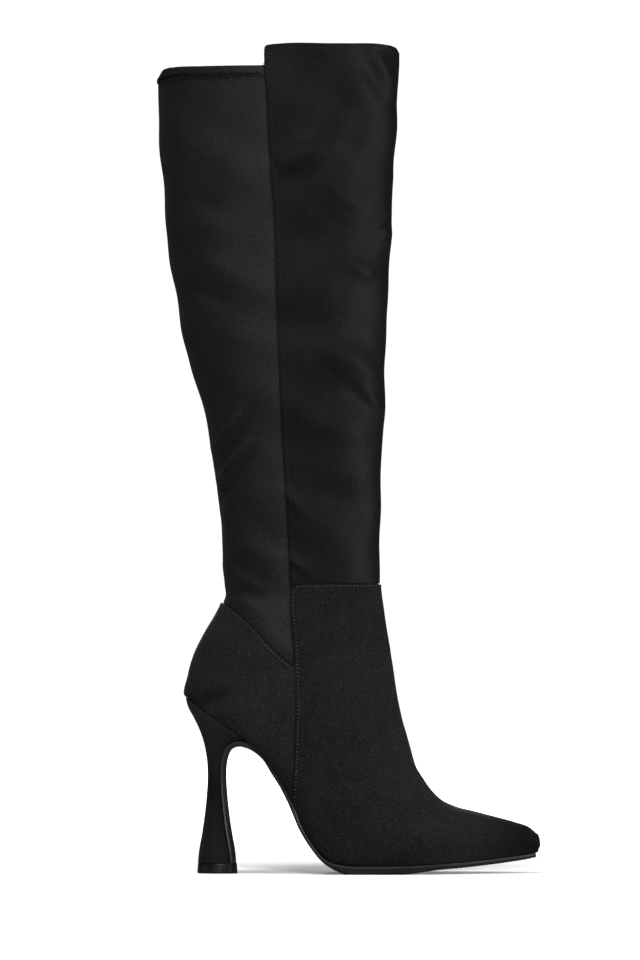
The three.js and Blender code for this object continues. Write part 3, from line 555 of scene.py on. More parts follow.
def shell(sheet, outer, inner):
    """A closed piece between two faces: outer and inner are each point's place off the last."""
    data, faces = sheet
    place, normal = data[:, :3], data[:, 3:6]
    top = place + normal * outer[:, None]
    low = place + normal * inner[:, None]
    rim = border_edges(faces)
    a, b = rim.T
    n = len(data)
    side = np.vstack([np.stack([b, a, a + n], 1), np.stack([b, a + n, b + n], 1)])
    return np.vstack([top, low]), np.vstack([faces, faces[:, ::-1] + n, side])


def piece(name, verts, faces, materials, node_name=None, which=None, cloth=None, smooth_angle=48):
    """A mesh in metres that rides on the boot."""
    mesh = bpy.data.meshes.new(name)
    verts = np.asarray(verts, float) * 0.001
    mesh.from_pydata(verts.tolist(), [], np.asarray(faces).tolist())
    for material in materials:
        mesh.materials.append(material)
    if which is not None:
        mesh.polygons.foreach_set("material_index", np.asarray(which, np.int32))
    if cloth is not None:
        corner = np.empty(len(mesh.loops), np.int32)
        mesh.loops.foreach_get("vertex_index", corner)
        chart = (cloth[corner] * 0.01).astype(np.float32)
        mesh.uv_layers.new(name="cloth").data.foreach_set("uv", chart.ravel())
    mesh.validate()
    mesh.shade_smooth()
    mesh.set_sharp_from_angle(angle=math.radians(smooth_angle))
    made = bpy.data.objects.new(name, mesh)
    bpy.context.scene.collection.objects.link(made)
    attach(made, "root")
    if node_name:
        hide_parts(node_name)


EDGE_ROLL = 0.45  # radius of a panel's rounded edge
EDGE_LINES = (0.16, 0.45, 1.1)  # lines beside an edge that the mesh follows


def panel(name, keep, skin, material, node_name, raise_by, marks):
    """A panel of the skin, trimmed by the fields in keep, with its edges rounded over.
    marks are further lines that the mesh follows. Gives back what its stitches need."""
    sheet = LAST
    for field in keep:
        sheet = trim(sheet, field)
    for field in keep:
        for level in EDGE_LINES:
            sheet = split(sheet, field, level)
    for field, level in marks:
        sheet = split(sheet, field, level)
    data = sheet[0]
    shape = relief(data)
    outer = shape - skin[0] + raise_by(data)
    face = outer.copy()
    for field in keep:
        outer = outer - rounded(field(data), EDGE_ROLL)
    verts, faces = shell(sheet, outer, shape - skin[1])
    cloth = np.vstack([data[:, [AROUND, ALONG]]] * 2)
    piece(name, verts, faces, [material], node_name, cloth=cloth)
    return data, face


def path_on(panel_face, field, level, pick, order):
    """The line on a panel at one level of a field: places and normals, in order."""
    data, face = panel_face
    on = (np.abs(field(data) - level) < 0.02) & pick(data)
    data, face = data[on], face[on]
    rank = np.argsort(order(data), kind="stable")
    data, face = data[rank], face[rank]
    place = data[:, :3] + data[:, 3:6] * face[:, None]
    keep = np.concatenate([[True], np.linalg.norm(np.diff(place, axis=0), axis=1) > 0.02])
    return place[keep], data[keep, 3:6]


def along_path(place, normal, pitch, ends):
    """Points at an even pitch along a path, with their normals and directions."""
    t = run_of(place)
    room = t[-1] - sum(ends)
    count = max(1, int(room / pitch))
    at = ends[0] + (np.arange(count) + 0.5) * room / count

    def read(values, q):
        return np.stack([np.interp(q, t, column) for column in values.T], 1)
    return read(place, at), unit(read(normal, at)), unit(read(place, at + 0.4) - read(place, at - 0.4))


THREAD_SIDES = 6
THREAD_SINK = 0.35
STITCH = [  # share of its length, how thick, how high: from one end in the cloth to the other
    (-0.5, 0.05, -1.1), (-0.5, 0.55, -0.75), (-0.36, 0.95, -0.1), (0, 1, 0.35), (0.36, 0.95, -0.1),
    (0.5, 0.55, -0.75), (0.5, 0.05, -1.1),
]


def stitches(places, normals, along, length, radius, tilt):
    """One rounded thread end per place, lying along the seam and turned by tilt."""
    tilt = tilt[:, None]
    run = along * np.cos(tilt) + unit(np.cross(normals, along)) * np.sin(tilt)
    side = unit(np.cross(normals, run))
    verts = []
    for share, thick, high in STITCH:
        for angle in np.arange(THREAD_SIDES) * math.tau / THREAD_SIDES:
            off = run * (share * length) + side * (thick * radius * math.cos(angle))
            off = off + normals * (radius * (high * THREAD_SINK + thick * math.sin(angle)))
            verts.append(places + off)
    verts = np.stack(verts, 1)
    per = len(STITCH) * THREAD_SIDES
    last = per - THREAD_SIDES
    caps = [[0, k, k + 1] for k in range(1, THREAD_SIDES - 1)]
    caps += [[last, last + k + 1, last + k] for k in range(1, THREAD_SIDES - 1)]
    one = np.vstack([grid_faces(len(STITCH), THREAD_SIDES), caps])
    faces = (one[None] + (np.arange(len(places)) * per)[:, None, None]).reshape(-1, 3)
    return verts.reshape(-1, 3), faces


def join(parts):
    """Several meshes as one list of places and triangles."""
    verts, faces, start = [], [], 0
    for v, f in parts:
        verts.append(v)
        faces.append(np.asarray(f) + start)
        start += len(v)
    return np.vstack(verts), np.vstack(faces)


# Materials
def node(tree, kind, inputs=None, **settings):
    made = tree.nodes.new(kind)
    for key, value in settings.items():
        setattr(made, key, value)
    for key, value in (inputs or {}).items():
        if isinstance(value, bpy.types.NodeSocket):
            tree.links.new(value, made.inputs[key])
        else:
            made.inputs[key].default_value = value
    return made


def math_node(tree, operation, a, b=0.0):
    return node(tree, "ShaderNodeMath", {0: a, 1: b}, operation=operation).outputs[0]


def ranged(tree, value, low, high, to_low=0.0, to_high=1.0):
    return node(tree, "ShaderNodeMapRange", {0: value, 1: low, 2: high, 3: to_low, 4: to_high}).outputs[0]


def mixed(tree, share, a, b):
    made = node(tree, "ShaderNodeMix", {0: share}, data_type="RGBA")
    for socket, value in ((made.inputs[6], a), (made.inputs[7], b)):
        if isinstance(value, bpy.types.NodeSocket):
            tree.links.new(value, socket)
        else:
            socket.default_value = value
    return made.outputs[2]


def noise(tree, vector, scale, detail=3.0, rough=0.55, stretch=None):
    if stretch:
        vector = node(tree, "ShaderNodeVectorMath", {0: vector, 1: stretch}, operation="MULTIPLY").outputs[0]
    return node(tree, "ShaderNodeTexNoise", {"Vector": vector, "Scale": scale, "Detail": detail,
                                             "Roughness": rough}).outputs[0]


def effect(name, inputs, outputs, build):
    """A shader node group with named inputs and outputs."""
    tree = bpy.data.node_groups.new(name, "ShaderNodeTree")
    for label, (kind, value) in inputs.items():
        socket = tree.interface.new_socket(label, in_out="INPUT", socket_type=kind)
        if value is not None:
            socket.default_value = value
    for label, kind in outputs.items():
        tree.interface.new_socket(label, in_out="OUTPUT", socket_type=kind)
    entry, leave = tree.nodes.new("NodeGroupInput"), tree.nodes.new("NodeGroupOutput")
    for label, socket in build(tree, entry.outputs).items():
        tree.links.new(socket, leave.inputs[label])
    return tree


FLOAT, VECTOR = "NodeSocketFloat", "NodeSocketVector"


def build_nap(tree, given):
    """Short napped fibres: soft patches where the nap lies differently, fine fibres and pale flecks."""
    place = given["Place"]
    patches = ranged(tree, noise(tree, place, 30.0, 3.0, 0.6), 0.36, 0.64, 0.0, given["Patches"])
    brushed = ranged(tree, noise(tree, place, 170.0, 3.0, 0.6, stretch=(1.0, 1.0, 0.4)), 0.34, 0.66, 0.0, 0.25)
    fibres = ranged(tree, noise(tree, place, 820.0, 3.0, 0.7), 0.36, 0.64, 0.0, 0.5)
    tone = math_node(tree, "ADD", math_node(tree, "ADD", patches, brushed), fibres)
    flecks = ranged(tree, noise(tree, place, 900.0, 2.0, 0.6), 0.52, 0.74)
    height = math_node(tree, "ADD", fibres, brushed)
    return {"Tone": tone, "Flecks": flecks, "Height": height}


def build_weave(tree, given):
    """Fine knitted cloth: slightly uneven rows one way and wales the other, with loose yarn ends."""
    place = given["Place"]
    split_ = node(tree, "ShaderNodeSeparateXYZ", {0: place})
    count = given["Rows per mm"]
    wobble = noise(tree, place, 30.0, 2.0)
    waves = []
    for axis, shift in (("X", 0.6), ("Y", 0.8)):
        turned = math_node(tree, "MULTIPLY", split_.outputs[axis], count)
        turned = math_node(tree, "ADD", math_node(tree, "MULTIPLY", turned, 628.3),
                           math_node(tree, "MULTIPLY", wobble, 6.0 * shift))
        waves.append(math_node(tree, "SINE", turned))
    both = math_node(tree, "MULTIPLY", waves[0], waves[1])
    grain = noise(tree, place, 70.0, 3.0, 0.75)
    fine = noise(tree, place, 110.0, 2.0, 0.6)
    height = math_node(tree, "ADD", math_node(tree, "MULTIPLY", both, 0.25), grain)
    tone = math_node(tree, "ADD", math_node(tree, "MULTIPLY", grain, 0.6), math_node(tree, "MULTIPLY", fine, 0.4))
    return {"Tone": ranged(tree, tone, 0.4, 0.6), "Flecks": ranged(tree, fine, 0.6, 0.7), "Height": height}


def build_wear(tree, given):
    """Fine scratches, dust and finger marks on smooth faces."""
    place = given["Place"]
    marks = noise(tree, place, 45.0, 4.0, 0.6)
    scratch = noise(tree, place, 300.0, 3.0, 0.6, stretch=(0.15, 1.0, 1.0))
    dust = noise(tree, place, 1400.0, 2.0, 0.6)
    return {"Marks": ranged(tree, marks, 0.4, 0.68), "Scratches": ranged(tree, scratch, 0.58, 0.75),
            "Dust": ranged(tree, dust, 0.62, 0.74)}


def build_grain(tree, given):
    """Leather grain: small cells with soft creases between them."""
    place = given["Place"]
    cells = node(tree, "ShaderNodeTexVoronoi", {"Vector": place, "Scale": given["Cells"]},
                 feature="DISTANCE_TO_EDGE").outputs["Distance"]
    fine = noise(tree, place, 1200.0, 3.0, 0.6)
    height = math_node(tree, "ADD", ranged(tree, cells, 0.0, 0.25), math_node(tree, "MULTIPLY", fine, 0.3))
    return {"Height": height, "Tone": ranged(tree, noise(tree, place, 40.0, 3.0), 0.35, 0.65)}


NAP = effect("nap", {"Place": (VECTOR, None), "Patches": (FLOAT, 0.25)},
             {"Tone": FLOAT, "Flecks": FLOAT, "Height": FLOAT}, build_nap)
WEAVE = effect("knit", {"Place": (VECTOR, None), "Rows per mm": (FLOAT, 1.4)},
               {"Tone": FLOAT, "Flecks": FLOAT, "Height": FLOAT}, build_weave)
WEAR = effect("handling wear", {"Place": (VECTOR, None)}, {"Marks": FLOAT, "Scratches": FLOAT, "Dust": FLOAT},
              build_wear)
GRAIN = effect("leather grain", {"Place": (VECTOR, None), "Cells": (FLOAT, 700.0)},
               {"Height": FLOAT, "Tone": FLOAT}, build_grain)


def new_material(name, **constants):
    """A material with its Principled BSDF, whose constants are set on its own sockets."""
    material = bpy.data.materials.new(name)
    material.use_nodes = True
    shader = material.node_tree.nodes["Principled BSDF"]
    for key, value in constants.items():
        shader.inputs[key.replace("_", " ")].default_value = value
    return material, material.node_tree, shader


def use(tree, group, **inputs):
    made = tree.nodes.new("ShaderNodeGroup")
    made.node_tree = group
    for key, value in inputs.items():
        key = key.replace("_", " ")
        if isinstance(value, bpy.types.NodeSocket):
            tree.links.new(value, made.inputs[key])
        else:
            made.inputs[key].default_value = value
    return made.outputs


def toned(color, share, lift=0.0):
    """A colour made lighter or darker."""
    return tuple(c * share + lift for c in color[:3]) + (1,)


def bump(tree, shader, height, strength, distance):
    made = node(tree, "ShaderNodeBump", {"Strength": strength, "Distance": distance, "Height": height})
    tree.links.new(made.outputs[0], shader.inputs["Normal"])


def on_object(tree):
    return node(tree, "ShaderNodeTexCoord").outputs["Object"]


def on_cloth(tree):
    return node(tree, "ShaderNodeUVMap", uv_map="cloth").outputs[0]


def suede(name, dark, pale, fleck, patches=0.25, sheen=0.08, rough=0.85, gleam=0.15, shade=None):
    material, tree, shader = new_material(name, Roughness=rough, Specular_IOR_Level=gleam, Sheen_Weight=sheen,
                                          Sheen_Roughness=0.45, Sheen_Tint=(0.9, 0.88, 0.92, 1))
    nap = use(tree, NAP, Place=on_object(tree), Patches=patches)
    color = mixed(tree, nap["Flecks"], mixed(tree, nap["Tone"], dark, pale), fleck)
    # shade paints light and shade into the colour: along one axis of the object the colour is blended toward tint,
    # with an edge made uneven by the nap
    if shade:
        axis, start, end, share, tint = shade
        place = node(tree, "ShaderNodeSeparateXYZ", {0: on_object(tree)}).outputs[axis]
        uneven = math_node(tree, "MULTIPLY", math_node(tree, "SUBTRACT", nap["Tone"], 0.5), 0.006)
        painted_light_share = ranged(tree, math_node(tree, "ADD", place, uneven), start, end, 0.0, share)
        color = mixed(tree, painted_light_share, color, tint)
    tree.links.new(color, shader.inputs["Base Color"])
    bump(tree, shader, nap["Height"], 0.5, 0.00035)
    return material


def stretch_cloth(name):
    material, tree, shader = new_material(name, Specular_IOR_Level=0.15, Sheen_Weight=0.02, Sheen_Roughness=0.4,
                                          Sheen_Tint=(0.85, 0.88, 1, 1))
    knit = use(tree, WEAVE, Place=on_cloth(tree), Rows_per_mm=1.3)
    color = mixed(tree, knit["Tone"], (0.003, 0.0025, 0.0036, 1), (0.0138, 0.0118, 0.0151, 1))
    tree.links.new(mixed(tree, knit["Flecks"], color, (0.0205, 0.018, 0.0215, 1)), shader.inputs["Base Color"])
    tree.links.new(ranged(tree, knit["Tone"], 0, 1, 0.6, 0.48), shader.inputs["Roughness"])
    bump(tree, shader, knit["Height"], 0.45, 0.0003)
    return material


def thread(name, color, gleam=0.35):
    material, tree, shader = new_material(name, Roughness=0.5, Specular_IOR_Level=gleam)
    ply = noise(tree, on_object(tree), 2600.0, 1.0)
    worn = ranged(tree, noise(tree, on_object(tree), 380.0, 2.0, 0.7), 0.46, 0.66)
    tree.links.new(mixed(tree, worn, toned(color, 0.16), color), shader.inputs["Base Color"])
    bump(tree, shader, ply, 0.3, 0.0001)
    return material


def leather(name, dark, pale, rough, cells=700.0, bump_by=0.25):
    material, tree, shader = new_material(name, Specular_IOR_Level=0.4)
    place = on_object(tree)
    grain = use(tree, GRAIN, Place=place, Cells=cells)
    wear = use(tree, WEAR, Place=place)
    tree.links.new(mixed(tree, grain["Tone"], dark, pale), shader.inputs["Base Color"])
    tree.links.new(ranged(tree, wear["Marks"], 0, 1, rough, rough + 0.16), shader.inputs["Roughness"])
    bump(tree, shader, grain["Height"], bump_by, 0.0002)
    return material


def rubber(name, color, painted_light_tint, rough):
    material, tree, shader = new_material(name, Specular_IOR_Level=0.32)
    wear = use(tree, WEAR, Place=on_object(tree))
    pale = toned(color, 2.2, 0.004)
    height = node(tree, "ShaderNodeSeparateXYZ", {0: on_object(tree)}).outputs["Z"]
    tint = mixed(tree, math_node(tree, "MULTIPLY", wear["Marks"], 0.35), color, pale)
    # Painted light: from 12 mm to 40 mm up, the sole is blended toward a paler tint, so the flap up the heel breast
    # and the sole under the arch look lit
    tint = mixed(tree, ranged(tree, height, 0.012, 0.04), tint, painted_light_tint)
    tree.links.new(mixed(tree, math_node(tree, "MULTIPLY", wear["Dust"], 0.4), tint, pale),
                   shader.inputs["Base Color"])
    tree.links.new(ranged(tree, wear["Marks"], 0, 1, rough, rough + 0.2), shader.inputs["Roughness"])
    bump(tree, shader, math_node(tree, "ADD", wear["Dust"], wear["Scratches"]), 0.12, 0.0001)
    return material


def polished(name, color):
    material, tree, shader = new_material(name, Specular_IOR_Level=0.1, Coat_Weight=0.03, Coat_Roughness=0.14)
    wear = use(tree, WEAR, Place=on_object(tree))
    # Painted reflections: upright streaks in the lift's colour, up to 2.4 times paler, stand in for bands of reflected
    # light
    painted_reflection_streaks = ranged(tree, noise(tree, on_object(tree), 150.0, 2.0, 0.5, stretch=(1.0, 1.0, 0.1)), 0.42, 0.6)
    with_painted_reflections = mixed(tree, painted_reflection_streaks, color, toned(color, 2.4))
    tree.links.new(mixed(tree, wear["Scratches"], with_painted_reflections, toned(color, 1.8)),
                   shader.inputs["Base Color"])
    tree.links.new(ranged(tree, wear["Marks"], 0, 1, 0.3, 0.46), shader.inputs["Roughness"])
    bump(tree, shader, wear["Scratches"], 0.06, 0.0001)
    return material


FOOT_SUEDE = suede("foot suede", (0.0034, 0.003, 0.0034, 1), (0.0145, 0.013, 0.0142, 1),
                   (0.0235, 0.0215, 0.0229, 1), sheen=0.015, gleam=0.115)
# The vamp's toe tip, from 162 mm to 190 mm along X, is painted near black: painted shade where the toe turns away from
# the light
VAMP_SUEDE = suede("vamp suede", (0.0026, 0.0023, 0.0029, 1), (0.0104, 0.0096, 0.0112, 1),
                   (0.0185, 0.0174, 0.0197, 1), sheen=0.015, gleam=0.085,
                   shade=("X", 0.162, 0.19, 0.85, (0.001, 0.001, 0.0012, 1)))
LEG_SUEDE_LOOK = suede("leg suede", (0.0018, 0.0014, 0.0016, 1), (0.0047, 0.0039, 0.0043, 1),
                       (0.0064, 0.0056, 0.006, 1), patches=0.3, sheen=0.008, rough=0.5, gleam=0.078)
# The heel cover is painted paler from 55 mm to 96 mm up: painted light on its upper flare, under the counter's
# overhang
HEEL_SUEDE = suede("heel suede", (0.003, 0.0028, 0.003, 1), (0.0085, 0.0078, 0.0082, 1),
                   (0.0115, 0.0107, 0.0112, 1), sheen=0.02,
                   shade=("Z", 0.055, 0.096, 0.9, (0.025, 0.0233, 0.024, 1)))
STRETCH_LOOK = stretch_cloth("stretch cloth")
FOOT_THREAD = thread("grey thread", (0.046, 0.044, 0.047, 1))
THREAD = thread("dark thread", (0.0095, 0.009, 0.0098, 1), gleam=0.2)
HEM_THREAD = thread("black hem thread", (0.002, 0.0019, 0.0021, 1), gleam=0.04)
LINING = leather("lining leather", (0.016, 0.0145, 0.014, 1), (0.026, 0.024, 0.0235, 1), 0.5)
FOOTBED = leather("footbed leather", (0.02, 0.018, 0.0168, 1), (0.034, 0.031, 0.029, 1), 0.45, cells=520.0)
# The second colour of the sole rubber is painted light for its higher parts
SOLE_RUBBER = rubber("sole rubber", (0.008, 0.0082, 0.0098, 1), (0.032, 0.032, 0.035, 1), 0.4)
LIFT_POLISH = polished("polished lift", (0.0075, 0.0075, 0.0085, 1))

LAST = last_grid()

# Panels of the skin. A field is above 0 on the side that is kept.
SEAM_GAP = 0.15
LINING_COARSER = 1.5  # the lining needs a less fine mesh than the panels


def vamp_rise(data):
    """The vamp's edges stand a little proud of what they overlap."""
    return 0.3 * np.exp(-(vamp_top(data) / 9) ** 2) + 0.15 * np.exp(-(in_front(data) / 4) ** 2)


def leg_rise(data):
    """The front leg panel dips under the vamp and laps over the stretch panel."""
    tuck = np.exp(-(vamp_top(data) / 3) ** 2)
    return 0.22 * np.exp(-(in_front(data) / 3.5) ** 2) * (1 - tuck) - 0.22 * tuck


def stretch_rise(data):
    """The stretch panel sinks beside its seams and is folded double at the hem."""
    hem = HEM_RISE * (1 - soft_step(-0.5, 0.1, hem_line(data)))
    seam = 0.25 * np.exp(-(in_front(data) / 2.2) ** 2) * (1 - hem / HEM_RISE)
    tuck = 0.3 * np.exp(-(counter_top(data) / 2.2) ** 2)
    puff = 0.55 * np.exp(-((counter_top(data) + 7) / 4.5) ** 2)
    return hem - seam - tuck + puff


def counter_rise(data):
    return 0.3 * np.exp(-(counter_top(data) / 5) ** 2)


vamp_keep = [moved(in_front, SEAM_GAP), moved(vamp_top, SEAM_GAP), over_sole]
vamp_face = panel("vamp_suede", vamp_keep, SUEDE, VAMP_SUEDE, "vamp", vamp_rise,
                  [(in_front, 1.9), (vamp_top, 1.1)])
counter_keep = [flipped(in_front, SEAM_GAP), moved(counter_top, SEAM_GAP), over_sole]
counter_face = panel("counter_suede", counter_keep, SUEDE, FOOT_SUEDE, "counter", counter_rise,
                     [(counter_top, 1.7)])
leg_keep = [moved(in_front, SEAM_GAP), flipped(vamp_top, SEAM_GAP), front_collar]
leg_face = panel("front_leg_suede", leg_keep, LEG_SUEDE, LEG_SUEDE_LOOK, "front_leg_panel", leg_rise,
                 [(in_front, 1.3), (in_front, 2.9), (front_collar, 3.4)])
back_keep = [flipped(in_front, SEAM_GAP), flipped(counter_top, SEAM_GAP), back_collar]
back_face = panel("stretch_back_cloth", back_keep, STRETCH, STRETCH_LOOK,
                  "stretch_back_panel", stretch_rise, [(hem_line, -0.5), (hem_line, 0.1), (hem_line, -2.0)])


def make_lining():
    """The wall inside the panels: lining within, suede where it shows under the waist."""
    sheet = last_grid(PITCH * LINING_COARSER, round(HALF_STEPS / LINING_COARSER))

    def collar(data):
        front = np.minimum(front_collar(data), in_front(data) - 0.6)
        return np.maximum(back_collar(data), front) - 0.25

    sheet = trim(sheet, collar)
    data, faces = sheet
    shape = relief(data)
    roll = rounded(collar(data), 0.6)
    verts, made = shell(sheet, shape - WALL[0] - roll * 0.2, shape - WALL[1] + roll)
    which = np.zeros(len(made), int)
    which[:len(faces)] = 1
    piece("lining_and_wall", verts, made, [LINING, FOOT_SUEDE], "upper", which)


make_lining()


# Stitching
def add_stitches():
    outer, inner = (lambda data: data[:, Y] < 0), (lambda data: data[:, Y] >= 0)
    high = lambda data: -data[:, Z]
    round_front = lambda data: np.arctan2(data[:, Y], data[:, X] - 55)
    round_back = lambda data: np.arctan2(data[:, Y], 55 - data[:, X])
    everywhere = lambda data: np.ones(len(data), bool)
    rows = []

    def row(face, field, level, pick, order, pitch, length, radius, tilt=0.0, ends=(1.2, 1.2)):
        place, normal = path_on(face, field, level, pick, order)
        at, up, along = along_path(place, normal, pitch, ends)
        turn = tilt + 0.22 * np.sin(np.arange(len(at)) * 2.4)
        rows.append(stitches(at, up, along, length, radius, turn))

    for side, lean in ((outer, 1), (inner, -1)):
        row(leg_face, in_front, 2.9, side, high, 2.9, 1.9, 0.26, 0.18 * lean)
        row(leg_face, in_front, 1.3, lambda data, side=side: side(data) & (data[:, Z] > 484), high, 2.1, 1.7, 0.26,
            0.9 * lean)
    row(leg_face, front_collar, 3.4, lambda data: data[:, X] > 32.5, round_front, 2.9, 1.9, 0.24)
    verts, faces = join(rows)
    piece("leg_stitches", verts, faces, [THREAD], smooth_angle=80)
    rows.clear()
    for side, lean in ((outer, 1), (inner, -1)):
        row(vamp_face, in_front, 1.9, side, high, 2.3, 1.25, 0.33, 0.6 * lean, ends=(2.4, 1.2))
        row(counter_face, counter_top, 1.7, side, lambda data: data[:, X], 2.3, 1.2, 0.33, 0.6 * lean)
    row(vamp_face, vamp_top, 1.1, everywhere, round_front, 2.3, 1.3, 0.28, ends=(3, 3))
    verts, faces = join(rows)
    piece("foot_stitches", verts, faces, [FOOT_THREAD], smooth_angle=80)
    rows.clear()
    row(back_face, hem_line, -2.0, everywhere, round_back, 3.3, 5.2, 0.4, tilt=-0.5)
    verts, faces = join(rows)
    piece("hem_stitches", verts, faces, [HEM_THREAD], smooth_angle=80)


add_stitches()


# Heel, top lift, outsole and footbed
def heel_rows():
    breast_x = FOOT_ROWS[BREAST_ROW]["back"][0] - 0.8
    breast_top = (breast_x, float(sole_line(SOLE_SEAT)(breast_x)) - 0.6)
    foot, seat = TOP_LIFT + 0.05, SEAT_HEIGHT + SOLE_SEAT
    rows = []
    for up_back, up_front, base, seat_back, seat_front, seat_wide in HEEL:
        deep = mix(HEEL_WAIST[0], HEEL_BASE[0], base) / 2
        rows.append([mix(-deep, SEAT_BACK, seat_back), mix(foot, seat, up_back),
                     mix(deep - FLAP - 0.05, breast_top[0], seat_front), mix(foot, breast_top[1], up_front),
                     mix(mix(HEEL_WAIST[1], HEEL_BASE[1], base) / 2, HEEL_SEAT_SHARE * HEEL_WIDTH / 2, seat_wide),
                     mix(0.55, 0.75, seat_wide)])
    return np.array(rows)


HEEL_ROWS = heel_rows()


def heel_ring(back, front, half, widest, ridge=1.0, shoulder=0.97, steps=24):
    return ring_of(dict(front=front, back=back, lateral=half, medial=half, widest=widest, ridge=ridge,
                        shoulder=shoulder), steps)


def capped(rings):
    """A closed piece through rings, with flat ends."""
    rows, around = rings.shape[:2]
    verts = np.vstack([rings.reshape(-1, 3), rings[0].mean(0)[None], rings[-1].mean(0)[None]])
    faces = grid_faces(rows, around)
    j = np.arange(around)
    k = (j + 1) % around
    low, high = rows * around, rows * around + 1
    last = (rows - 1) * around
    faces = np.vstack([faces, np.stack([j, k, np.full(around, low)], 1),
                       np.stack([last + k, last + j, np.full(around, high)], 1)])
    a, b, c = verts[faces[:, 0]], verts[faces[:, 1]], verts[faces[:, 2]]
    if (a * np.cross(b, c)).sum() < 0:
        faces = faces[:, ::-1]
    return verts, faces


def make_heel():
    t = run_of(HEEL_ROWS[:, 1:2])
    fine = smooth(t, HEEL_ROWS, np.linspace(0, t[-1], 86))
    rings = np.array([heel_ring((bx, bz), (fx, fz), half, widest) for bx, bz, fx, fz, half, widest in fine])
    seat = sole_line(SOLE_SEAT)
    rings[:, :, 2] = np.minimum(rings[:, :, 2], seat(rings[:, :, 0]) - 0.04)
    rings[-1, :, 2] = seat(rings[-1, :, 0]) - 0.02
    verts, faces = capped(rings)
    piece("heel_cover_suede", verts, faces, [HEEL_SUEDE], "heel")


def make_top_lift():
    deep, wide = HEEL_BASE[0] / 2, HEEL_BASE[1] / 2
    shape = [(0, -0.15), (0.12, 0.1), (0.4, 0.32), (1.0, 0.36), (3.2, 0.2), (5.2, 0.06), (5.9, 0), (6.2, -0.14),
             (6.35, -0.45)]
    rings = np.array([heel_ring((-deep - g, z), (deep + g, z), wide + g, 0.55, 0.78, 0.68) for z, g in shape])
    verts, faces = capped(rings)
    piece("top_lift_polished", verts, faces, [LIFT_POLISH], "top_lift", smooth_angle=40)


FLAP_SINK = 0.35  # how far the flap is let into the heel
CLEAT = 0.2  # depth of the fine tread


def outsole_rows():
    """From the top lift up the breast of the heel, under the arch and along to the toe."""
    rows = []
    for (_, _, fx, fz, half, _), row in zip(HEEL_ROWS[:-1], HEEL):
        rows.append([fx, fz, half, half, 0, mix(0.96, 0.9, row[5]), -FLAP_SINK, FLAP, min(FLAP_BEVEL, half * 0.45), 0])
    top = SOLE_PATH - side_normals(SOLE_PATH) * SOLE_SEAT
    for i in range(BREAST_ROW, LAST_SOLE_ROW + 1):
        row = FOOT_ROWS[i]
        thick, tuck = SOLE[i]
        rib = tuck >= 0.94
        rows.append([top[i + 1][0], top[i + 1][1], row["lateral"] * row["edge"], row["medial"] * row["edge"],
                     row["sway"], tuck, 0, thick * FOREPART, RIB_RELIEF + EDGE_BEVEL, float(rib)])
    return np.array(rows)


def make_outsole():
    rows = outsole_rows()
    t = run_of(rows[:, :2])
    at = np.arange(0, t[-1] - 0.9, 0.8)
    fine = smooth(t, rows, at)
    fine[:, 9] = np.clip(np.interp(at, t, rows[:, 9]), 0, 1)
    out = side_normals(fine[:, :2])
    end = np.radians([0, 30, 50, 65, 76, 84])
    reach, shrink = 2.6 * np.sin(end), np.cos(end)
    ahead = np.array([-out[-1][1], out[-1][0]])
    for push, keep in zip(reach[1:], shrink[1:]):
        row = fine[len(at) - 1].copy()
        row[:2] += ahead * push
        row[2:4] = row[2:4] * mix(0.55, 1, keep)
        row[7] *= mix(0.8, 1, keep)
        fine = np.vstack([fine, row])
        out = np.vstack([out, out[-1]])
    rings = []
    for k, (px, pz, lateral, medial, sway, narrow, rise, depth, slant, rib) in enumerate(fine):
        margin = SOLE_MARGIN * rib
        band = min(EDGE_RIB, depth * 0.5)
        under = depth - band
        ribbed = [(0.2, 0), (0, 0.25), (0, band - 0.2), (0.15, band), (RIB_RELIEF * 0.8, band + under * 0.12),
                  (RIB_RELIEF + 0.2, band + under * 0.4), (RIB_RELIEF + EDGE_BEVEL * 0.8, band + under * 0.8),
                  (RIB_RELIEF + EDGE_BEVEL * 1.3, depth)]
        plain = [(0.15, 0), (0, 0.15), (0, depth * 0.18), (0, depth * 0.3), (slant * 0.16, depth * 0.47),
                 (slant * 0.5, depth * 0.75), (slant * 0.78, depth * 0.95), (slant, depth)]
        profile = mix(np.array(plain), np.array(ribbed), rib)
        cleat = CLEAT if rib > 0.5 and k % 2 else 0
        half = [lateral * narrow + margin, medial * narrow + margin]
        cross = np.linspace(-1, 1, 13)[1:-1]
        edge = np.concatenate([-(half[0] - profile[:, 0]), mix(-(half[0] - slant), half[1] - slant,
                                                               (cross + 1) / 2), (half[1] - profile[:, 0])[::-1]])
        deep = np.concatenate([profile[:, 1], np.full(len(cross), depth - cleat), profile[::-1, 1]])
        deep[7] -= cleat
        deep[-8] -= cleat
        deep = deep + rise
        ring = np.stack([px + out[k][0] * deep, sway + edge, pz + out[k][1] * deep], 1)
        ring[:, 2] = np.maximum(ring[:, 2], 0)
        if k == 0:
            ring[:, 2] = TOP_LIFT + 0.05
        rings.append(ring)
    verts, faces = capped(np.array(rings))
    piece("outsole_rubber", verts, faces, [SOLE_RUBBER], "outsole", smooth_angle=35)


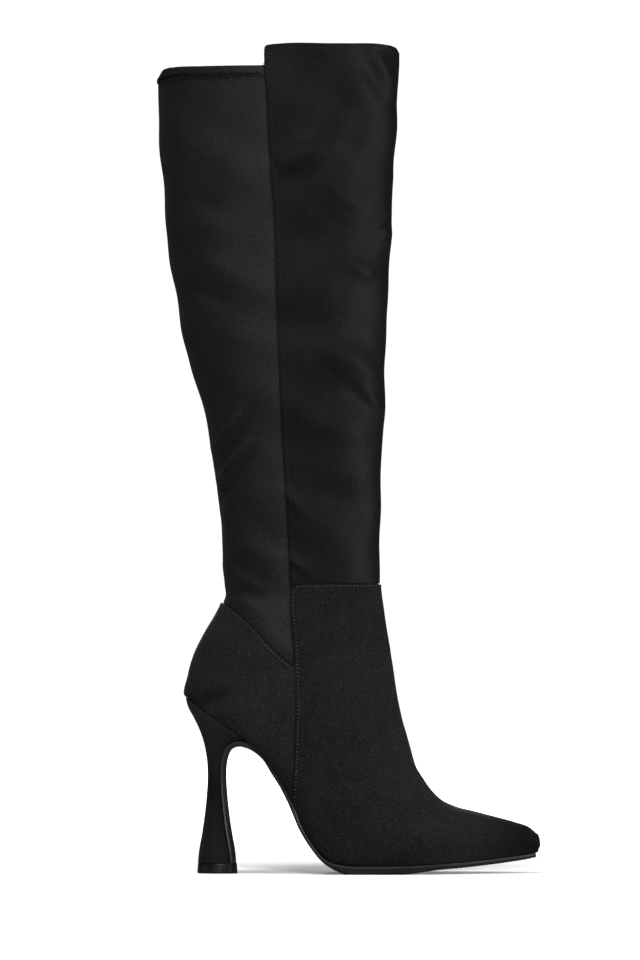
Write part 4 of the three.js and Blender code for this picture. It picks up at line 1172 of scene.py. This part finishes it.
def make_footbed():
    rest = WALL[1] + 0.05
    shares = [0.46, 0.68, 0.82, 0.93, 0.98] + [1] * 20
    rows = []
    out = side_normals(SOLE_PATH)[1:]
    first = SOLE_PATH[1] + (SOLE_PATH[1] - SOLE_PATH[2]) * 0.05
    rows.append([*first, *out[0], 0.22 * 11, 0.22 * 11, 0])
    for i in range(LAST_SOLE_ROW):
        row = FOOT_ROWS[i]
        side = [(row[name] * row["edge"] - rest - GAP * 0.4) * shares[i] for name in ("lateral", "medial")]
        rows.append([*SOLE_PATH[i + 1], *out[i], *side, row["sway"]])
    rows = np.array(rows)
    t = run_of(rows[:, :2])
    fine = smooth(t, rows, np.arange(0, t[-1], 1.5))
    rings = []
    for px, pz, nx, nz, lateral, medial, sway in fine:
        profile = [(0.1, INSOLE - 0.15), (0, INSOLE * 0.6), (0, 0)]
        cross = np.linspace(-1, 1, 15)[1:-1]
        edge = [-(lateral - e) for e, _ in profile[::-1]] + list(mix(-lateral + 0.5, medial - 0.5, (cross + 1) / 2))
        edge += [medial - e for e, _ in profile]
        high = [d for _, d in profile[::-1]] + [INSOLE] * len(cross) + [d for _, d in profile]
        depth = -(rest + np.array(high))
        rings.append(np.stack([px + nx * depth, sway + np.array(edge), pz + nz * depth], 1))
    verts, faces = capped(np.array(rings))
    piece("footbed", verts, faces, [FOOTBED], "insole")


make_heel()
make_top_lift()
make_outsole()
make_footbed()


# Studio
FLOOR_GLOW = (0.15, 1.0)  # light of the floor near the boot and away from it


def make_studio():
    bpy.ops.mesh.primitive_plane_add(size=14, location=(0, 1.5, 0))
    floor = bpy.context.object
    floor.name = "studio_floor"
    paper, tree, shader = new_material("white floor", Roughness=0.9, Specular_IOR_Level=0.0,
                                       Emission_Color=(1, 1, 1, 1))
    seen = node(tree, "ShaderNodeLightPath").outputs["Is Camera Ray"]
    far = node(tree, "ShaderNodeVectorMath", {0: on_object(tree), 1: (0.06, -1.5, 0)}, operation="DISTANCE")
    glow = ranged(tree, far.outputs["Value"], 0.35, 0.9, FLOOR_GLOW[0], FLOOR_GLOW[1])
    tree.links.new(math_node(tree, "MULTIPLY", glow, seen), shader.inputs["Emission Strength"])
    shade = noise(tree, on_object(tree), 3.0)
    paper_white = mixed(tree, shade, (0.93, 0.93, 0.93, 1), (0.95, 0.95, 0.95, 1))
    tree.links.new(mixed(tree, seen, (0.26, 0.26, 0.26, 1), paper_white), shader.inputs["Base Color"])
    floor.data.materials.append(paper)

    world = bpy.data.worlds.new("studio")
    bpy.context.scene.world = world
    world.use_nodes = True
    tree = world.node_tree
    tree.nodes.clear()
    seen = node(tree, "ShaderNodeBackground", {"Color": (1, 1, 1, 1), "Strength": 1.05})
    lit = node(tree, "ShaderNodeBackground", {"Color": (1, 1, 1, 1), "Strength": 0.05})
    path = node(tree, "ShaderNodeLightPath")
    either = node(tree, "ShaderNodeMixShader", {0: path.outputs["Is Camera Ray"], 1: lit.outputs[0],
                                                2: seen.outputs[0]})
    node(tree, "ShaderNodeOutputWorld", {0: either.outputs[0]})

    def soft_light(name, place, target, size, watts):
        light = bpy.data.lights.new(name, "AREA")
        light.shape, light.size, light.size_y, light.energy = "RECTANGLE", size[0], size[1], watts
        lamp = bpy.data.objects.new(name, light)
        bpy.context.scene.collection.objects.link(lamp)
        lamp.location = place
        way = np.array(target) - np.array(place)
        lamp.rotation_euler = Vector(way).to_track_quat("-Z", "Y").to_euler()

    soft_light("key", (0.3, -3.1, 1.35), (0.06, 0, 0.26), (0.6, 0.6), 62)
    soft_light("side", (-0.9, -2.4, 0.12), (0.04, 0, 0.1), (0.6, 0.6), 4)
    soft_light("front", (1.9, -0.6, 0.25), (0.06, 0, 0.3), (0.5, 0.3), 28)
    soft_light("back", (-0.4, 3.1, 1.3), (0.06, 0, 0.26), (0.8, 0.8), 50)
    soft_light("top", (-0.25, -0.6, 2.4), (0.06, 0, 0.1), (0.4, 0.4), 42)

    camera = bpy.data.cameras.new("camera")
    camera.lens, camera.sensor_width = 484, 36
    camera.clip_start, camera.clip_end = 0.1, 100
    holder = bpy.data.objects.new("camera", camera)
    bpy.context.scene.collection.objects.link(holder)
    holder.location = (0.0636, -8.0, 0.2437)
    holder.rotation_euler = (math.radians(90), 0, 0)
    bpy.context.scene.camera = holder
    bpy.context.scene.view_settings.view_transform = "Standard"


make_studio()
